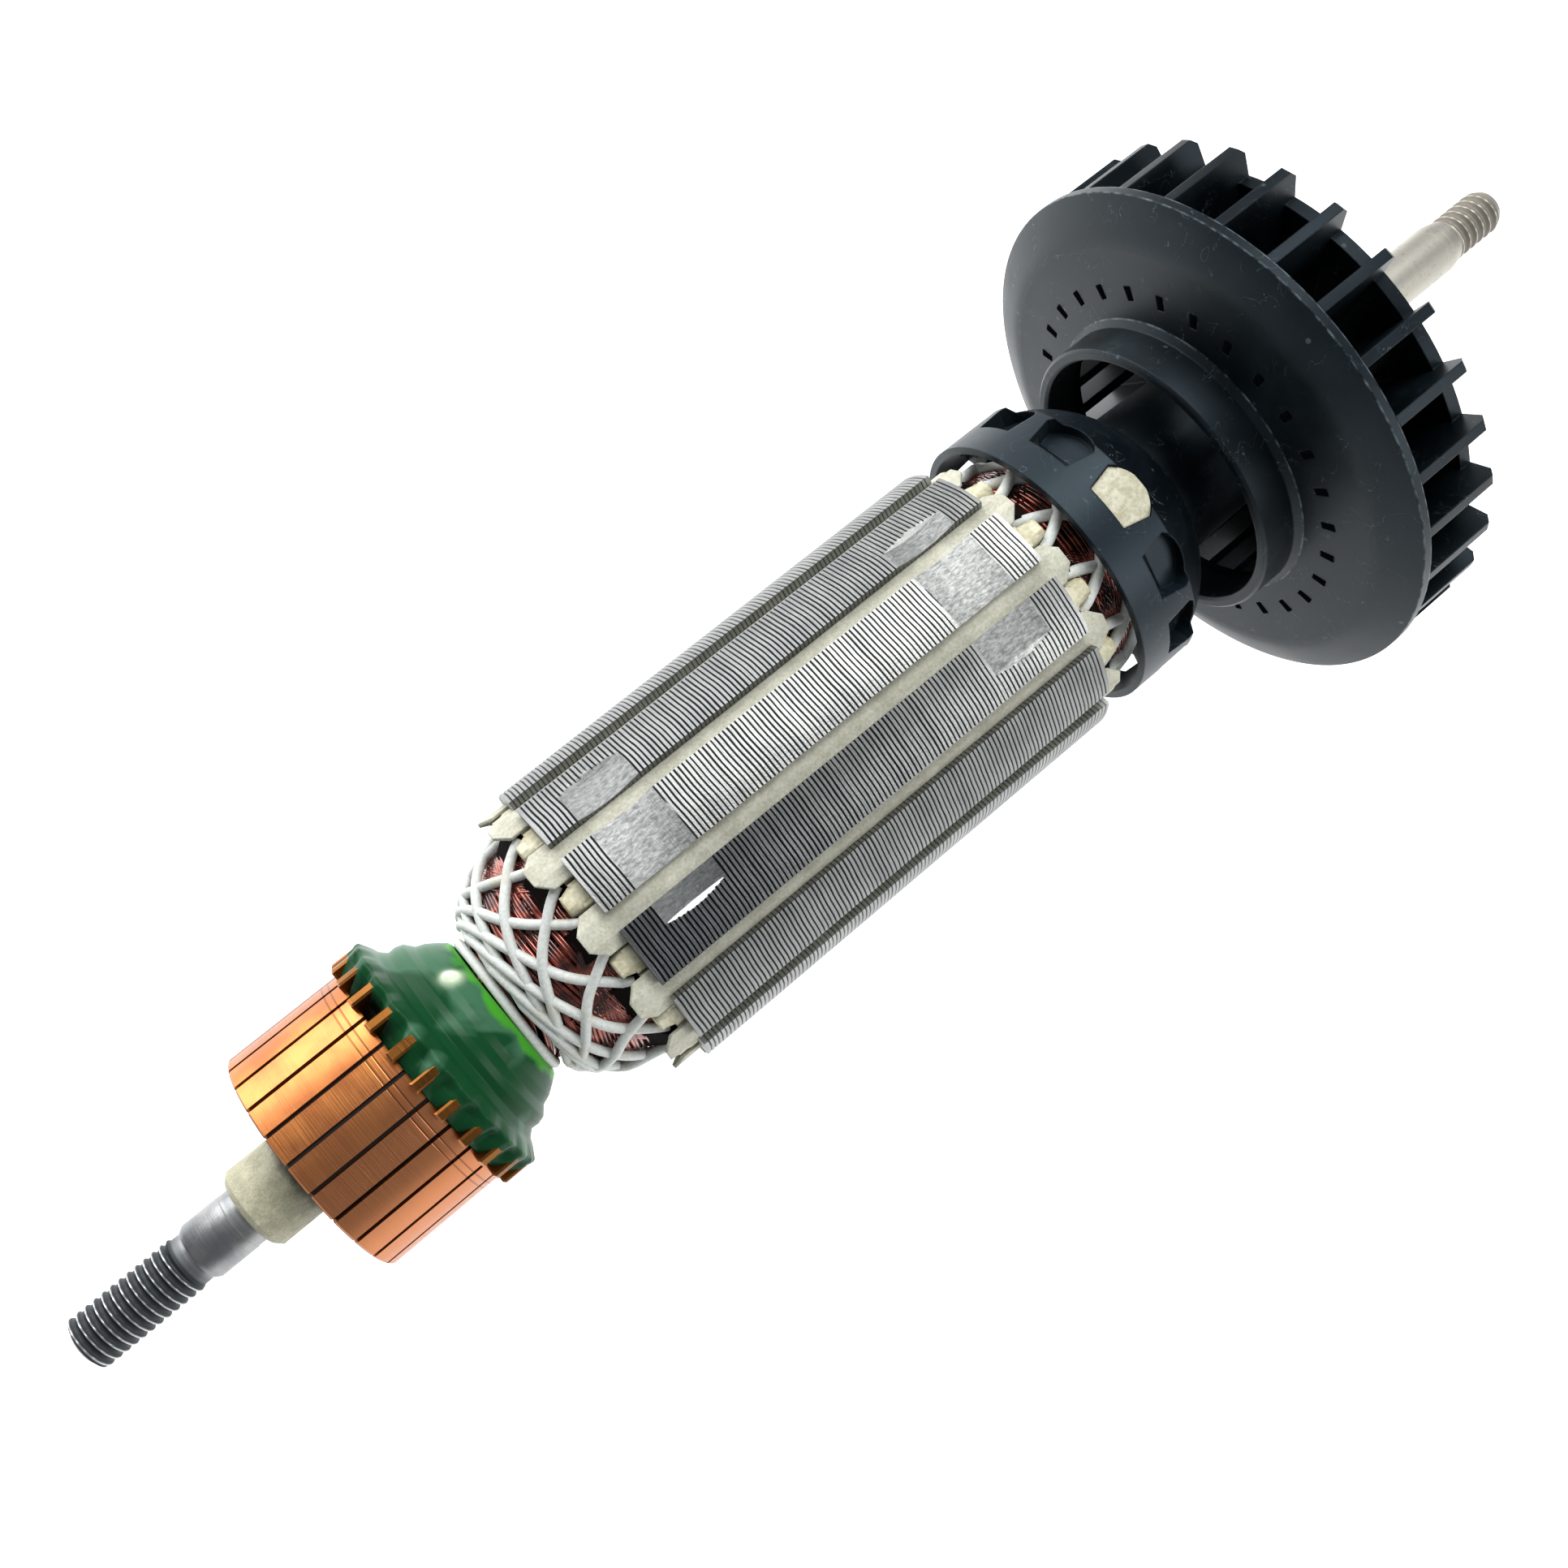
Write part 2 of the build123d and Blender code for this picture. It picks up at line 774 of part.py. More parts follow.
hook = make_hook()
bars = around(make_bar() + hook, bar_count, first_bar_angle)
liners = around(make_liner(), slot_count, 90 + slot_pitch / 2)
core_middle = Plane.YZ.offset((core_x + core_end_x) / 2)

parts = {
    "shaft": make_shaft(),
    "shaft_insulating_sleeve": make_sleeve(),
    "front_bush": make_bush(),
    "commutator_moulding": make_moulding(),
    "lead_resin": make_resin(around(hook, bar_count, first_bar_angle)),
    "lamination_core": make_core(),
    "slot_windings": make_slot_windings(),
    "winding_front": make_front_winding(),
    "winding_rear": make_rear_winding(),
    "end_insulator_front": make_spider(lug_front),
    "end_insulator_rear": mirror(make_spider(lug_rear), about=core_middle),
    "lacing_front": make_front_lacing(),
    "lacing_rear": make_rear_lacing(),
    "fan_wheel": make_fan_wheel(),
    "fan_shroud": make_fan_shroud(),
    "balancing_putty": make_putty(),
}
for i, bar in enumerate(bars, start=1):
    parts[f"commutator_bar_{i:02d}"] = bar
for i, liner in enumerate(liners, start=1):
    parts[f"slot_liner_{i:02d}"] = liner

for name, shape in parts.items():
    export_step(shape, f"parts/{name}.step")
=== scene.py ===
# %% [markdown]
# # A motor armature
# An armature is the part of a commutator motor that turns. A steel shaft carries a stack of steel
# sheets with copper wire in its slots, a copper commutator that feeds the wire, and a plastic fan.
# The solids come from the CAD frame. This lesson dresses them: some keep their mesh and get a
# finish, and the ones whose look lies in fine relief (threads, sheets, wires, cord) are built anew.

# %% Load the frame
import math
import bpy
import numpy as np
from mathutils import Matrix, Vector


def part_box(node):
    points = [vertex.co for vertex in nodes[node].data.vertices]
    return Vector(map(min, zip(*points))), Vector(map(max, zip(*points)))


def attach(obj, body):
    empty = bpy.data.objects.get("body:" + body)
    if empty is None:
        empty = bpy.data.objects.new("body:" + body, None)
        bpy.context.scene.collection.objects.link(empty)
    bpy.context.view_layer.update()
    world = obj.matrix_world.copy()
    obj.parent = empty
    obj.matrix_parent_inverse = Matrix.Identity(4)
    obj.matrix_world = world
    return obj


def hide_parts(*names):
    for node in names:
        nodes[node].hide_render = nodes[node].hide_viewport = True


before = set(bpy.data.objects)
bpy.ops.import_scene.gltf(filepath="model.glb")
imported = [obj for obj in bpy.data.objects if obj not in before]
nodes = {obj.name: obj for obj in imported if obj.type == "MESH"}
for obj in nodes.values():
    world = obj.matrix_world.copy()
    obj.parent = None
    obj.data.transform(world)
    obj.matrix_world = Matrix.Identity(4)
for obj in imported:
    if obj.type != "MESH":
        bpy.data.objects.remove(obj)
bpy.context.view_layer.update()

MM = 0.001
PER_MM = 1 / MM
scene = bpy.context.scene
print("CAD nodes:", len(nodes))

# %% [markdown]
# ## Where things are
# Every place is read from the frame, so that a change of size in the CAD moves the looks as well.
# The shaft runs along X. Angles about it start at +Y and turn towards +Z, where a tooth stands.

# %% Places along the shaft
core_low, core_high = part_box("lamination_core")
shaft_low, shaft_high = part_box("shaft")
fan_low, fan_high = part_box("fan_wheel")
shroud_low, shroud_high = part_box("fan_shroud")
bar_low, bar_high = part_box("commutator_bar_01")
core_start = core_low.x
core_end = core_high.x
HOOK_LEN = 3.06 * MM
bar_end = bar_high.x - HOOK_LEN
TOP = math.radians(90)
TOOTH_COUNT = 12
TOOTH_PITCH = 2 * math.pi / TOOTH_COUNT
print("core from", round(core_start / MM, 2), "to", round(core_end / MM, 2), "mm")

# %% [markdown]
# ## The camera
# The photograph was taken from above, a little towards the commutator, with a 36 mm lens on a
# full frame. The distance matters as much as the angle: it gives the fan its large look.

# %% Camera
VIEW_AZIMUTH = math.radians(-40.5)
VIEW_ELEVATION = math.radians(72.3)
camera_place = (core_start - 8.4 * MM, -38.5 * MM, 156.6 * MM)
camera_data = bpy.data.cameras.new("camera")
camera_data.lens = 35.74
camera_data.sensor_width = 36.0
camera_data.clip_start = 0.01
camera = bpy.data.objects.new("camera", camera_data)
camera.location = camera_place
camera.rotation_euler = (math.pi / 2 - VIEW_ELEVATION, 0, VIEW_AZIMUTH)
scene.collection.objects.link(camera)
scene.camera = camera
scene.view_settings.view_transform = "Standard"
print("camera at", [round(c / MM, 1) for c in camera_place])

# %% [markdown]
# ## Helpers for colour and nodes
# Colours are noted as sRGB hex values, as a colour picker shows them, and turned to the linear
# values that a shader works in. One function adds any shader node, sets it and links it. A node
# that is given as an input is linked by its first output in use, and every Mix mixes colours.

# %% Colour and node helpers
def linear(code):
    """Linear colour from an sRGB hex value."""
    parts = [int(code[i:i + 2], 16) / 255 for i in (1, 3, 5)]
    return [p / 12.92 if p <= 0.04045 else ((p + 0.055) / 1.055) ** 2.4 for p in parts] + [1.0]


def fill(material, socket, value):
    """Set a socket to a value or a hex colour, or link it to an output or a node."""
    if isinstance(value, bpy.types.Node):
        value = next(output for output in value.outputs if output.enabled)
    if isinstance(value, bpy.types.NodeSocket):
        material.node_tree.links.new(value, socket)
    else:
        socket.default_value = linear(value) if isinstance(value, str) else value


def add(material, kind, inputs=None, **settings):
    """Add a shader node to the material, set its properties and fill its inputs."""
    made = material.node_tree.nodes.new("ShaderNode" + kind)
    if kind == "Mix":
        made.data_type = "RGBA"
    for key, value in settings.items():
        setattr(made, key, value)
    for key, value in (inputs or {}).items():
        fill(material, made.inputs[key], value)
    return made


def to_shader(material, **inputs):
    """Fill inputs of the material's Principled shader."""
    shader = material.node_tree.nodes["Principled BSDF"]
    for key, value in inputs.items():
        fill(material, shader.inputs[key.replace("_", " ")], value)


def surface(name, **inputs):
    """New material, with constant values on its Principled shader."""
    material = bpy.data.materials.new(name)
    material.use_nodes = True
    to_shader(material, **inputs)
    return material


def textured(name, **inputs):
    """New material, and its object's coordinates for the patterns to start from."""
    material = surface(name, **inputs)
    return material, add(material, "TexCoord").outputs["Object"]


def patches(material, place, waves, detail, low, high, most=1.0):
    """Noise with so many waves a mm, spread from 0 at its low value to the most at its high one."""
    noise = add(material, "TexNoise", {"Vector": place, "Scale": waves * PER_MM, "Detail": detail})
    return add(material, "MapRange", {"Value": noise, "From Min": low, "From Max": high, "To Max": most})


def tool_lines(material, place, along, around):
    """Noise in lines round the shaft, as a tool leaves them, with so many waves a mm."""
    scale = (along * PER_MM, around * PER_MM, around * PER_MM)
    stretched = add(material, "Mapping", {"Vector": place, "Scale": scale})
    return add(material, "TexNoise", {"Vector": stretched, "Scale": 1.0, "Detail": 3.0})


def layered(material, colour, *layers):
    """A colour with others laid over it in turn, each by its share."""
    for share, over in layers:
        colour = add(material, "Mix", {SHARE: share, FROM: colour, TO: over})
    return colour


def finish(material, height, strength, depth, edge=0, **inputs):
    """Fill the shader, with a relief so many mm deep and, if given, edges rounded by so many mm."""
    relief = {"Height": height, "Strength": strength, "Distance": depth * MM}
    if edge:
        relief["Normal"] = add(material, "Bevel", {"Radius": edge * MM})
    to_shader(material, Normal=add(material, "Bump", relief), **inputs)
    return material


# Inputs of a Mix node: how much, from which colour, to which colour
SHARE, FROM, TO = 0, 6, 7
print("mid grey is", round(linear("#808080")[0], 3))

# %% [markdown]
# ## Building meshes from rings
# A turned part, a tube and the fluted core are all the same thing: rings of points, one after
# another, joined by quads. One function makes the faces, and the pieces differ in their rings.

# %% Points and rings
def turn_angles(sides):
    """Evenly spaced angles round one turn."""
    return np.arange(sides) * 2 * math.pi / sides


def about_shaft(x, radius, angle):
    """Points from places along the shaft, radii and angles, which are spread to one shape."""
    return np.stack(np.broadcast_arrays(x, radius * np.cos(angle), radius * np.sin(angle)), -1)


def tube_rings(path, radius, sides):
    """Rings of a round tube that follows a path of points."""
    ahead = np.gradient(path, axis=0)
    ahead /= np.linalg.norm(ahead, axis=1)[:, None]
    side = np.cross(ahead, path * [0, 1, 1])
    side /= np.linalg.norm(side, axis=1)[:, None]
    up = np.cross(side, ahead)
    turn = turn_angles(sides)[None, :, None]
    return path[:, None] + radius * (side[:, None] * np.cos(turn) - up[:, None] * np.sin(turn))


def ring_faces(count, sides, start, capped):
    """Quads between closed rings of points, with a face on each end if capped."""
    i = np.arange(count - 1)[:, None]
    j = np.arange(sides)[None, :]
    k = (j + 1) % sides
    quads = np.stack([i * sides + j, i * sides + k, (i + 1) * sides + k, (i + 1) * sides + j], -1)
    faces = (quads.reshape(-1, 4) + start).tolist()
    if capped:
        faces.append([start + n for n in range(sides)][::-1])
        faces.append([start + (count - 1) * sides + n for n in range(sides)])
    return faces


# %% Pieces and finishes
def piece(name, stacks, material, sharp, replaced=(), marks=None, capped=True):
    """One object from several stacks of closed rings, riding on the armature's body."""
    points = []
    faces = []
    total = 0
    for rings in stacks:
        count, sides = rings.shape[:2]
        faces += ring_faces(count, sides, total, capped)
        points.append(rings.reshape(-1, 3))
        total += count * sides
    mesh = bpy.data.meshes.new(name)
    mesh.from_pydata(np.concatenate(points).tolist(), [], faces)
    for key, values in (marks or {}).items():
        mark = mesh.attributes.new(key, "FLOAT", "POINT")
        mark.data.foreach_set("value", np.asarray(values, np.float32).ravel())
    mesh.materials.append(material)
    mesh.polygons.foreach_set("use_smooth", [True] * len(mesh.polygons))
    mesh.set_sharp_from_angle(angle=math.radians(sharp))
    made = bpy.data.objects.new(name, mesh)
    scene.collection.objects.link(made)
    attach(made, "root")
    if replaced:
        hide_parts(*replaced)
    print(name, "faces:", len(mesh.polygons))


def dress(names, material):
    """Give carried-over CAD nodes a finish."""
    for name in names:
        made = nodes[name]
        made.data.materials.clear()
        made.data.materials.append(material)


random = np.random.default_rng(12)

# %% [markdown]
# ## Ground steel for the shaft
# The shaft is carbon steel, turned and then ground on its journals. Turning leaves fine rings
# round the axis, which stretch every highlight across the shaft. On the threads the flanks are
# painted darker the deeper they lie, as painted shade, and the crests of the front thread stay pale.

# %% Shaft steel
TIP_LEN = 1.0 * MM
FRONT_THREAD_LEN = 10.5 * MM
front_start = shaft_low.x + TIP_LEN
front_end = front_start + FRONT_THREAD_LEN


def shaft_steel():
    """Steel whose tone warms towards the fan, with painted shade in the flanks of the thread at each
    end.
    """
    material, place = textured("turned_and_ground_steel", Metallic=1.0)
    along = add(material, "SeparateXYZ", {0: place}).outputs["X"]
    flank = add(material, "Attribute", attribute_name="flank").outputs["Fac"]
    lines = tool_lines(material, place, 6, 0.15)
    pits = add(material, "TexNoise", {"Vector": place, "Scale": 2.2 * PER_MM, "Detail": 5.0})
    dark = add(material, "MapRange", {"Value": pits, "From Min": 0.62, "From Max": 0.80})
    warm = patches(material, place, 0.35, 3.0, 0.42, 0.62)
    far = add(material, "MapRange", {"Value": along, "From Min": 0.0, "From Max": 0.1})
    on_thread = add(material, "MapRange", {
        "Value": along, "From Min": front_end + 0.7 * MM, "From Max": front_end + 0.4 * MM})
    # Painted shade in the thread flanks: darker on the near thread, paler on the far one
    flank_shade = add(material, "Mix", {SHARE: far, FROM: "#3E4143", TO: "#88837A"})
    colour = layered(material, "#87898B", (warm, "#9D9D9C"), (far, "#B3B0A6"), (dark, "#77736C"),
                     (on_thread, "#BDBFC0"), (flank, flank_shade))
    turned = add(material, "MapRange", {"Value": lines, "To Min": 0.30, "To Max": 0.50})
    worn = add(material, "Math", {0: far, 1: 0.12, 2: turned}, operation="MULTIPLY_ADD")
    rough = add(material, "Math", {0: flank, 1: 0.2, 2: worn}, operation="MULTIPLY_ADD")
    height = add(material, "Math", {0: pits, 1: far, 2: lines}, operation="MULTIPLY_ADD")
    return finish(material, height, 0.35, 0.04, Base_Color=colour, Roughness=rough)


steel = shaft_steel()
print("the near thread ends at", round(front_end / MM, 2), "mm")

# %% [markdown]
# ## The shaft
# A turned outline would do for the plain lengths, but a thread is a helix: its radius changes with
# both the place along the axis and the angle. So the whole shaft is rings of points, close
# together where the threads are, and each point's radius comes from a small thread formula.

# %% Thread formula
DEPTH_SHARE = 0.30
CREST_SHARE = 0.12
FLANK_SHARE = 0.6
ROOT_ROUNDING = 0.8
FADE_RATE = 1.5


def thread_radius(x, angle, crest, pitch, start, end):
    """Radius of a right-handed thread with narrow rounded crests, fading out at its ends."""
    phase = (x / pitch - angle / (2 * math.pi)) % 1.0
    from_root = np.abs(2 * phase - 1)
    share = np.clip((1 - CREST_SHARE - from_root) / FLANK_SHARE, 0, 1)
    depth = DEPTH_SHARE * pitch * share ** ROOT_ROUNDING
    fade = np.clip((x - start) / pitch, 0, 1) * np.clip((end - x) / pitch, 0, 1)
    return crest - depth * np.clip(fade * FADE_RATE, 0, 1)


# %% Shaft sizes
JOURNAL_START = -2.8 * MM
JOURNAL_R = 3.145 * MM
GROUND_END = JOURNAL_START + 4.2 * MM
SEAT_R = JOURNAL_R - 0.04 * MM
FRONT_THREAD_R = 2.95 * MM
FRONT_THREAD_PITCH = 0.93 * MM
UNDERCUT_R = 2.69 * MM
UNDERCUT_LEN = 1.4 * MM
DRIVE_R = 3.077 * MM
DRIVE_THREAD_R = 2.7 * MM
DRIVE_THREAD_PITCH = 1.15 * MM
DRIVE_THREAD_LEN = 6.5 * MM
DRIVE_CHAMFER = 1.7 * MM
DRIVE_TIP_LEN = 1.1 * MM
drive_end = shaft_high.x - DRIVE_TIP_LEN
drive_start = drive_end - DRIVE_THREAD_LEN
drive_step = fan_high.x - 3 * MM
near_tip = [
    (shaft_low.x, 0.4 * FRONT_THREAD_R),
    (shaft_low.x, 0.7 * FRONT_THREAD_R),
    (shaft_low.x + 0.15 * MM, 0.76 * FRONT_THREAD_R),
]
plain_length = [
    (front_end, UNDERCUT_R + 0.05 * MM),
    (front_end + 0.2 * MM, UNDERCUT_R),
    (front_end + UNDERCUT_LEN, UNDERCUT_R),
    (front_end + UNDERCUT_LEN, JOURNAL_R - 0.3 * MM),
    (JOURNAL_START, JOURNAL_R),
    (GROUND_END, JOURNAL_R),
    (GROUND_END + 0.05 * MM, SEAT_R),
    (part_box("front_bush")[0].x, SEAT_R),
    (drive_step, SEAT_R),
    (drive_step, DRIVE_R),
    (drive_start - DRIVE_CHAMFER, DRIVE_R),
    (drive_start - 0.15 * MM, DRIVE_THREAD_R + 0.02 * MM),
]
far_tip = [
    (drive_end, DRIVE_THREAD_R - 0.15 * MM),
    (drive_end + 0.6 * DRIVE_TIP_LEN, 0.84 * DRIVE_THREAD_R),
    (shaft_high.x, 0.58 * DRIVE_THREAD_R),
    (shaft_high.x, 0.3 * DRIVE_THREAD_R),
]
print("the far thread starts at", round(drive_start / MM, 2), "mm")

# %% Shaft mesh
SHAFT_SIDES = 128
RINGS_A_TURN = 16
FLANK_DEPTH = 0.06 * MM
shaft_angles = turn_angles(SHAFT_SIDES)


def plain(outline):
    """Round rings at the points of an outline, as (place, radii)."""
    return [(x, np.full(SHAFT_SIDES, r)) for x, r in outline]


def threaded(start, end, crest, pitch):
    """Rings of one thread, close together."""
    limits = (start - pitch / 3, end + pitch / 4)
    return [(x, thread_radius(x, shaft_angles, crest, pitch, *limits))
            for x in np.arange(start, end, pitch / RINGS_A_TURN)]


rows = plain(near_tip)
rows += threaded(front_start - 0.6 * TIP_LEN, front_end, FRONT_THREAD_R, FRONT_THREAD_PITCH)
rows += plain(plain_length)
rows += threaded(drive_start, drive_end, DRIVE_THREAD_R, DRIVE_THREAD_PITCH)
rows += plain(far_tip)
shaft_x = np.array([x for x, radii in rows])[:, None]
shaft_r = np.array([radii for x, radii in rows])
in_front = (shaft_x > front_start - TIP_LEN) & (shaft_x < front_end + UNDERCUT_LEN)
in_drive = (shaft_x > drive_start) & (shaft_x < drive_end)
crest = np.where(in_front, FRONT_THREAD_R, np.where(in_drive, DRIVE_THREAD_R, 0))
# How deep each point lies in a thread's flank, which sets the painted shade there
flank = np.where(crest > 0, np.clip((crest - shaft_r) / FLANK_DEPTH, 0, 1), 0)
shaft_rings = about_shaft(shaft_x, shaft_r, shaft_angles)
piece("threaded_shaft", [shaft_rings], steel, 32, ("shaft",), {"flank": flank})

# %% [markdown]
# ## Laminated steel
# The core is pressed from electrical steel sheets, each half a millimetre thick and insulated from
# the next. The outside is ground after stacking, which smears a bright burr over each sheet's edge
# and leaves a dark line between. The balance cuts are milled, and there the lines are gone.

# %% Core steel
def milled_colour(material, swirl, painted_shade, wall_highlight):
    """Colour of the milled cuts: streaks of the cutter, painted shade on a shaded tooth and a painted
    highlight on a wall.
    """
    streak = add(material, "MapRange", {"Value": swirl, "From Min": 0.32, "From Max": 0.72})
    cut_shade = add(material, "Math", {0: painted_shade, 1: 0.75}, operation="MULTIPLY")
    return layered(material, "#7E807F", (streak, "#BFC1BE"), (cut_shade, "#4A4C4E"), (wall_highlight, "#F2F2EE"))


def core_steel():
    """Sheet edges ground bright, with dark lines between them, milled balance cuts, painted shade on
    some teeth and painted highlights on cut walls.
    """
    material, place = textured("ground_electrical_steel", Metallic=1.0)
    groove, milled, painted_shade, wall_highlight = [add(material, "Attribute", attribute_name=name).outputs["Fac"]
                                   for name in ("groove", "milled", "painted_shade", "wall_highlight")]
    fine = add(material, "TexNoise", {"Vector": place, "Scale": 5.0 * PER_MM, "Detail": 4.0})
    patch = add(material, "TexNoise", {"Vector": place, "Scale": 0.28 * PER_MM, "Detail": 3.0})
    scratches = tool_lines(material, place, 7, 0.5)
    feed = add(material, "Mapping", {
        "Vector": place, "Rotation": (0.0, 0.5, 0.5),
        "Scale": (1.4 * PER_MM, 3.4 * PER_MM, 3.4 * PER_MM)})
    swirl = add(material, "TexNoise", {"Vector": feed, "Scale": 1.0, "Detail": 5.0, "Distortion": 0.5})
    cut = milled_colour(material, swirl, painted_shade, wall_highlight)
    # Painted shade darkens the teeth turned from the light, and the cuts get painted shade and
    # highlights of their own
    colour = layered(material, "#8F9191", (patch, "#C9CAC6"), (painted_shade, "#4C4E51"), (milled, cut),
                     (groove, "#141615"))
    worn = add(material, "MapRange", {"Value": fine, "To Min": 0.32, "To Max": 0.6})
    rough = add(material, "Math", {0: milled, 1: 0.16, 2: worn}, operation="MULTIPLY_ADD")
    chatter = add(material, "Math", {0: swirl, 1: milled}, operation="MULTIPLY")
    ground = add(material, "Math", {0: fine, 1: scratches}, operation="ADD")
    height = add(material, "Math", {0: chatter, 1: 1.0, 2: ground}, operation="MULTIPLY_ADD")
    return finish(material, height, 0.45, 0.06, Base_Color=colour, Roughness=rough)


sheet_steel = core_steel()

# %% [markdown]
# ## The core
# The fluted outline is drawn once and repeated along the shaft, with four rings to a sheet: three
# at full size and one a little inside, where the sheets part.

# %% Core outline
CORE_R = 17.0 * MM
SLOT_OPENING = 2.1 * MM
TIP_DEPTH = 1.0 * MM
TIP_SLOPE = 0.5 * MM
STEM = 3.4 * MM
SLOT_FLOOR = 9.0 * MM
TIP_POINTS = 9
POINT_MARGIN = 0.004
# More points, at these degrees, where the wall of a balance cut bends
FLANK_POINTS = np.radians([56.4, 57.4, 58.2, *np.arange(61.0, 63.1, 0.4),
                           *np.arange(115.9, 118.0, 0.4), *np.arange(121.9, 123.6, 0.4)])


def slot_half(v):
    """Half a slot's width at radius v, between stems with parallel sides."""
    half = TOOTH_PITCH / 2
    return v * math.tan(half) - STEM / 2 / math.cos(half)


def core_outline():
    """Corners of the fluted outline as (angle, radius), tooth by tooth."""
    corners = []
    roof = CORE_R - TIP_DEPTH
    shoulder = roof - TIP_SLOPE
    tip_half = TOOTH_PITCH / 2 - math.asin(SLOT_OPENING / 2 / CORE_R)
    inside = [(-SLOT_OPENING / 2, roof), (-slot_half(shoulder), shoulder),
              (-slot_half(SLOT_FLOOR), SLOT_FLOOR)]
    inside += [(-u, v) for u, v in reversed(inside)]
    for n in range(-1, TOOTH_COUNT - 1):
        middle = TOP + n * TOOTH_PITCH
        after = middle + TOOTH_PITCH / 2
        steps = list(np.linspace(-tip_half, tip_half, TIP_POINTS) + middle)
        steps += [a for a in FLANK_POINTS if abs(a - middle) < tip_half - POINT_MARGIN]
        corners += [(a, CORE_R) for a in sorted(steps)]
        corners += [(after + math.atan2(u, v), math.hypot(u, v)) for u, v in inside]
    return np.array(corners).T


outline_a, outline_r = core_outline()
at_tip = outline_r > CORE_R - 0.1 * MM
print("points in the core's outline:", len(outline_a))

# %% [markdown]
# ## Balance cuts
# Metal is milled off the teeth until the armature runs true. The wheel's path is a formula that
# lowers the points under it: to one depth over the cut's arc, then rising in a curved wall, which
# is painted with a highlight on some sides.

# %% Milling wheel
CUTTER_R = 14.0 * MM
CUT_LEN = 7.4 * MM
CUT_FLARE = math.radians(2.0)
FLARE_RISE = 0.6 * MM
WALL_FROM = 0.001
# Each cut's middle along the shaft, first and last angle, and painted highlight on the wall at either
# end
CUTS = [
    (core_start + 7.3 * MM, math.radians(58.0), math.radians(116.0), 0.1, 1.0),
    (core_end - 7.4 * MM, math.radians(63.0), math.radians(122.0), 0.45, 0.0),
]
cut_floor = CORE_R - (CUTTER_R - math.sqrt(CUTTER_R ** 2 - (CUT_LEN / 2) ** 2))
print("the cuts are", round((CORE_R - cut_floor) / MM, 2), "mm deep")


def cut_radius(x, a, middle, first, last):
    """Radius that the milling wheel leaves at place x and angle a, and whether its flank cut it."""
    off = np.maximum(first - a, a - last)
    rise = np.clip(off / CUT_FLARE, 0, None) * FLARE_RISE
    reach = CUTTER_R ** 2 - (x - middle) ** 2
    low = cut_floor + CUTTER_R - np.sqrt(np.clip(reach, 0, None))
    return np.where(reach > 0, low + rise, CORE_R), off > WALL_FROM


def core_ring(x, depth, groove):
    """Places, radii and marks of one ring, lowered by a line's depth and by the milling wheel."""
    x = x + 0 * outline_r
    radii = np.where(at_tip, outline_r - depth, outline_r)
    milled = 0 * outline_r
    wall_highlight = 0 * outline_r
    for middle, first, last, highlight_first, highlight_last in CUTS:
        low, flank = cut_radius(x, outline_a, middle, first, last)
        # Painted highlight on the cut's wall, with a share for each side of the top
        highlight = np.where(outline_a < TOP, highlight_first, highlight_last)
        under = at_tip & (low < outline_r - 0.004 * MM)
        radii = np.where(under, np.minimum(low, outline_r), radii)
        milled = np.maximum(milled, under)
        wall_highlight = np.maximum(wall_highlight, (under & flank) * highlight)
    return x, radii, groove * (1 - milled), milled, wall_highlight


# %% Core mesh
SHEET = 0.5 * MM
EDGE_NOISE = 0.006 * MM
SHEET_JITTER = 0.01 * MM
LINE_WIDTH = 0.20 * MM
LINE_DEPTH = 0.14 * MM
BURR = 0.15
# Painted shade of each tooth, from the top one round, as the light falls on it
PAINTED_TOOTH_SHADE = np.array([0.30, 0.9, 0.45, 0.3, 0.4, 0.5, 0.4, 0.5, 0.4, 0.35, 0.5, 0.6])
SHADE_FADING_TEETH = 2
sheet_count = round((core_end - core_start) / SHEET)
sheet = (core_end - core_start) / sheet_count
wave = 0.05 * MM * np.sin(outline_a * 7) + 0.03 * MM * np.sin(outline_a * 23 + 1)
rows = []
for n in range(sheet_count):
    x = core_start + n * sheet
    edge = random.normal(0, EDGE_NOISE, len(outline_r)) + wave
    jitter = random.normal(0, SHEET_JITTER)
    line = LINE_WIDTH / 2 * (0.8 + 0.4 * random.random())
    last = n == sheet_count - 1
    rows.append(core_ring(x + (jitter + line + edge if n > 0 else 0), 0, BURR))
    rows.append(core_ring(x + sheet / 2 + edge, 0, 0))
    rows.append(core_ring(x + sheet - (0 if last else line - edge), 0, BURR))
    if not last:
        rows.append(core_ring(x + sheet + edge, LINE_DEPTH, 1))
core_x, core_radii, groove, milled, wall_highlight = np.array(rows).transpose(1, 0, 2)
tooth = np.round((outline_a - TOP) / TOOTH_PITCH).astype(int) % TOOTH_COUNT
core_share = (np.mean(core_x, axis=1)[:, None] - core_start) / (core_end - core_start)
# On the first two teeth the painted shade fades from the front of the core to the back
shade_fading = np.where(tooth < SHADE_FADING_TEETH, np.clip(1.15 - 1.1 * core_share, 0.15, 1), 1.0)
core_marks = {"groove": groove, "milled": milled, "wall_highlight": wall_highlight,
              "painted_shade": PAINTED_TOOTH_SHADE[tooth] * shade_fading}
piece("lamination_stack", [about_shaft(core_x, core_radii, outline_a)], sheet_steel, 30,
      ("lamination_core",), core_marks)

# %% [markdown]
# ## Insulating paper and cream plastics
# The slots are lined with pressed paper, cream and slightly furry, with faint blotches where the
# varnish soaked in. The end insulators with their lugs are moulded in a cream plastic, and so is
# the bush, whose end next to the commutator is painted dark as shade.

# %% Paper and cream plastics
SPECK_MM = 1.1


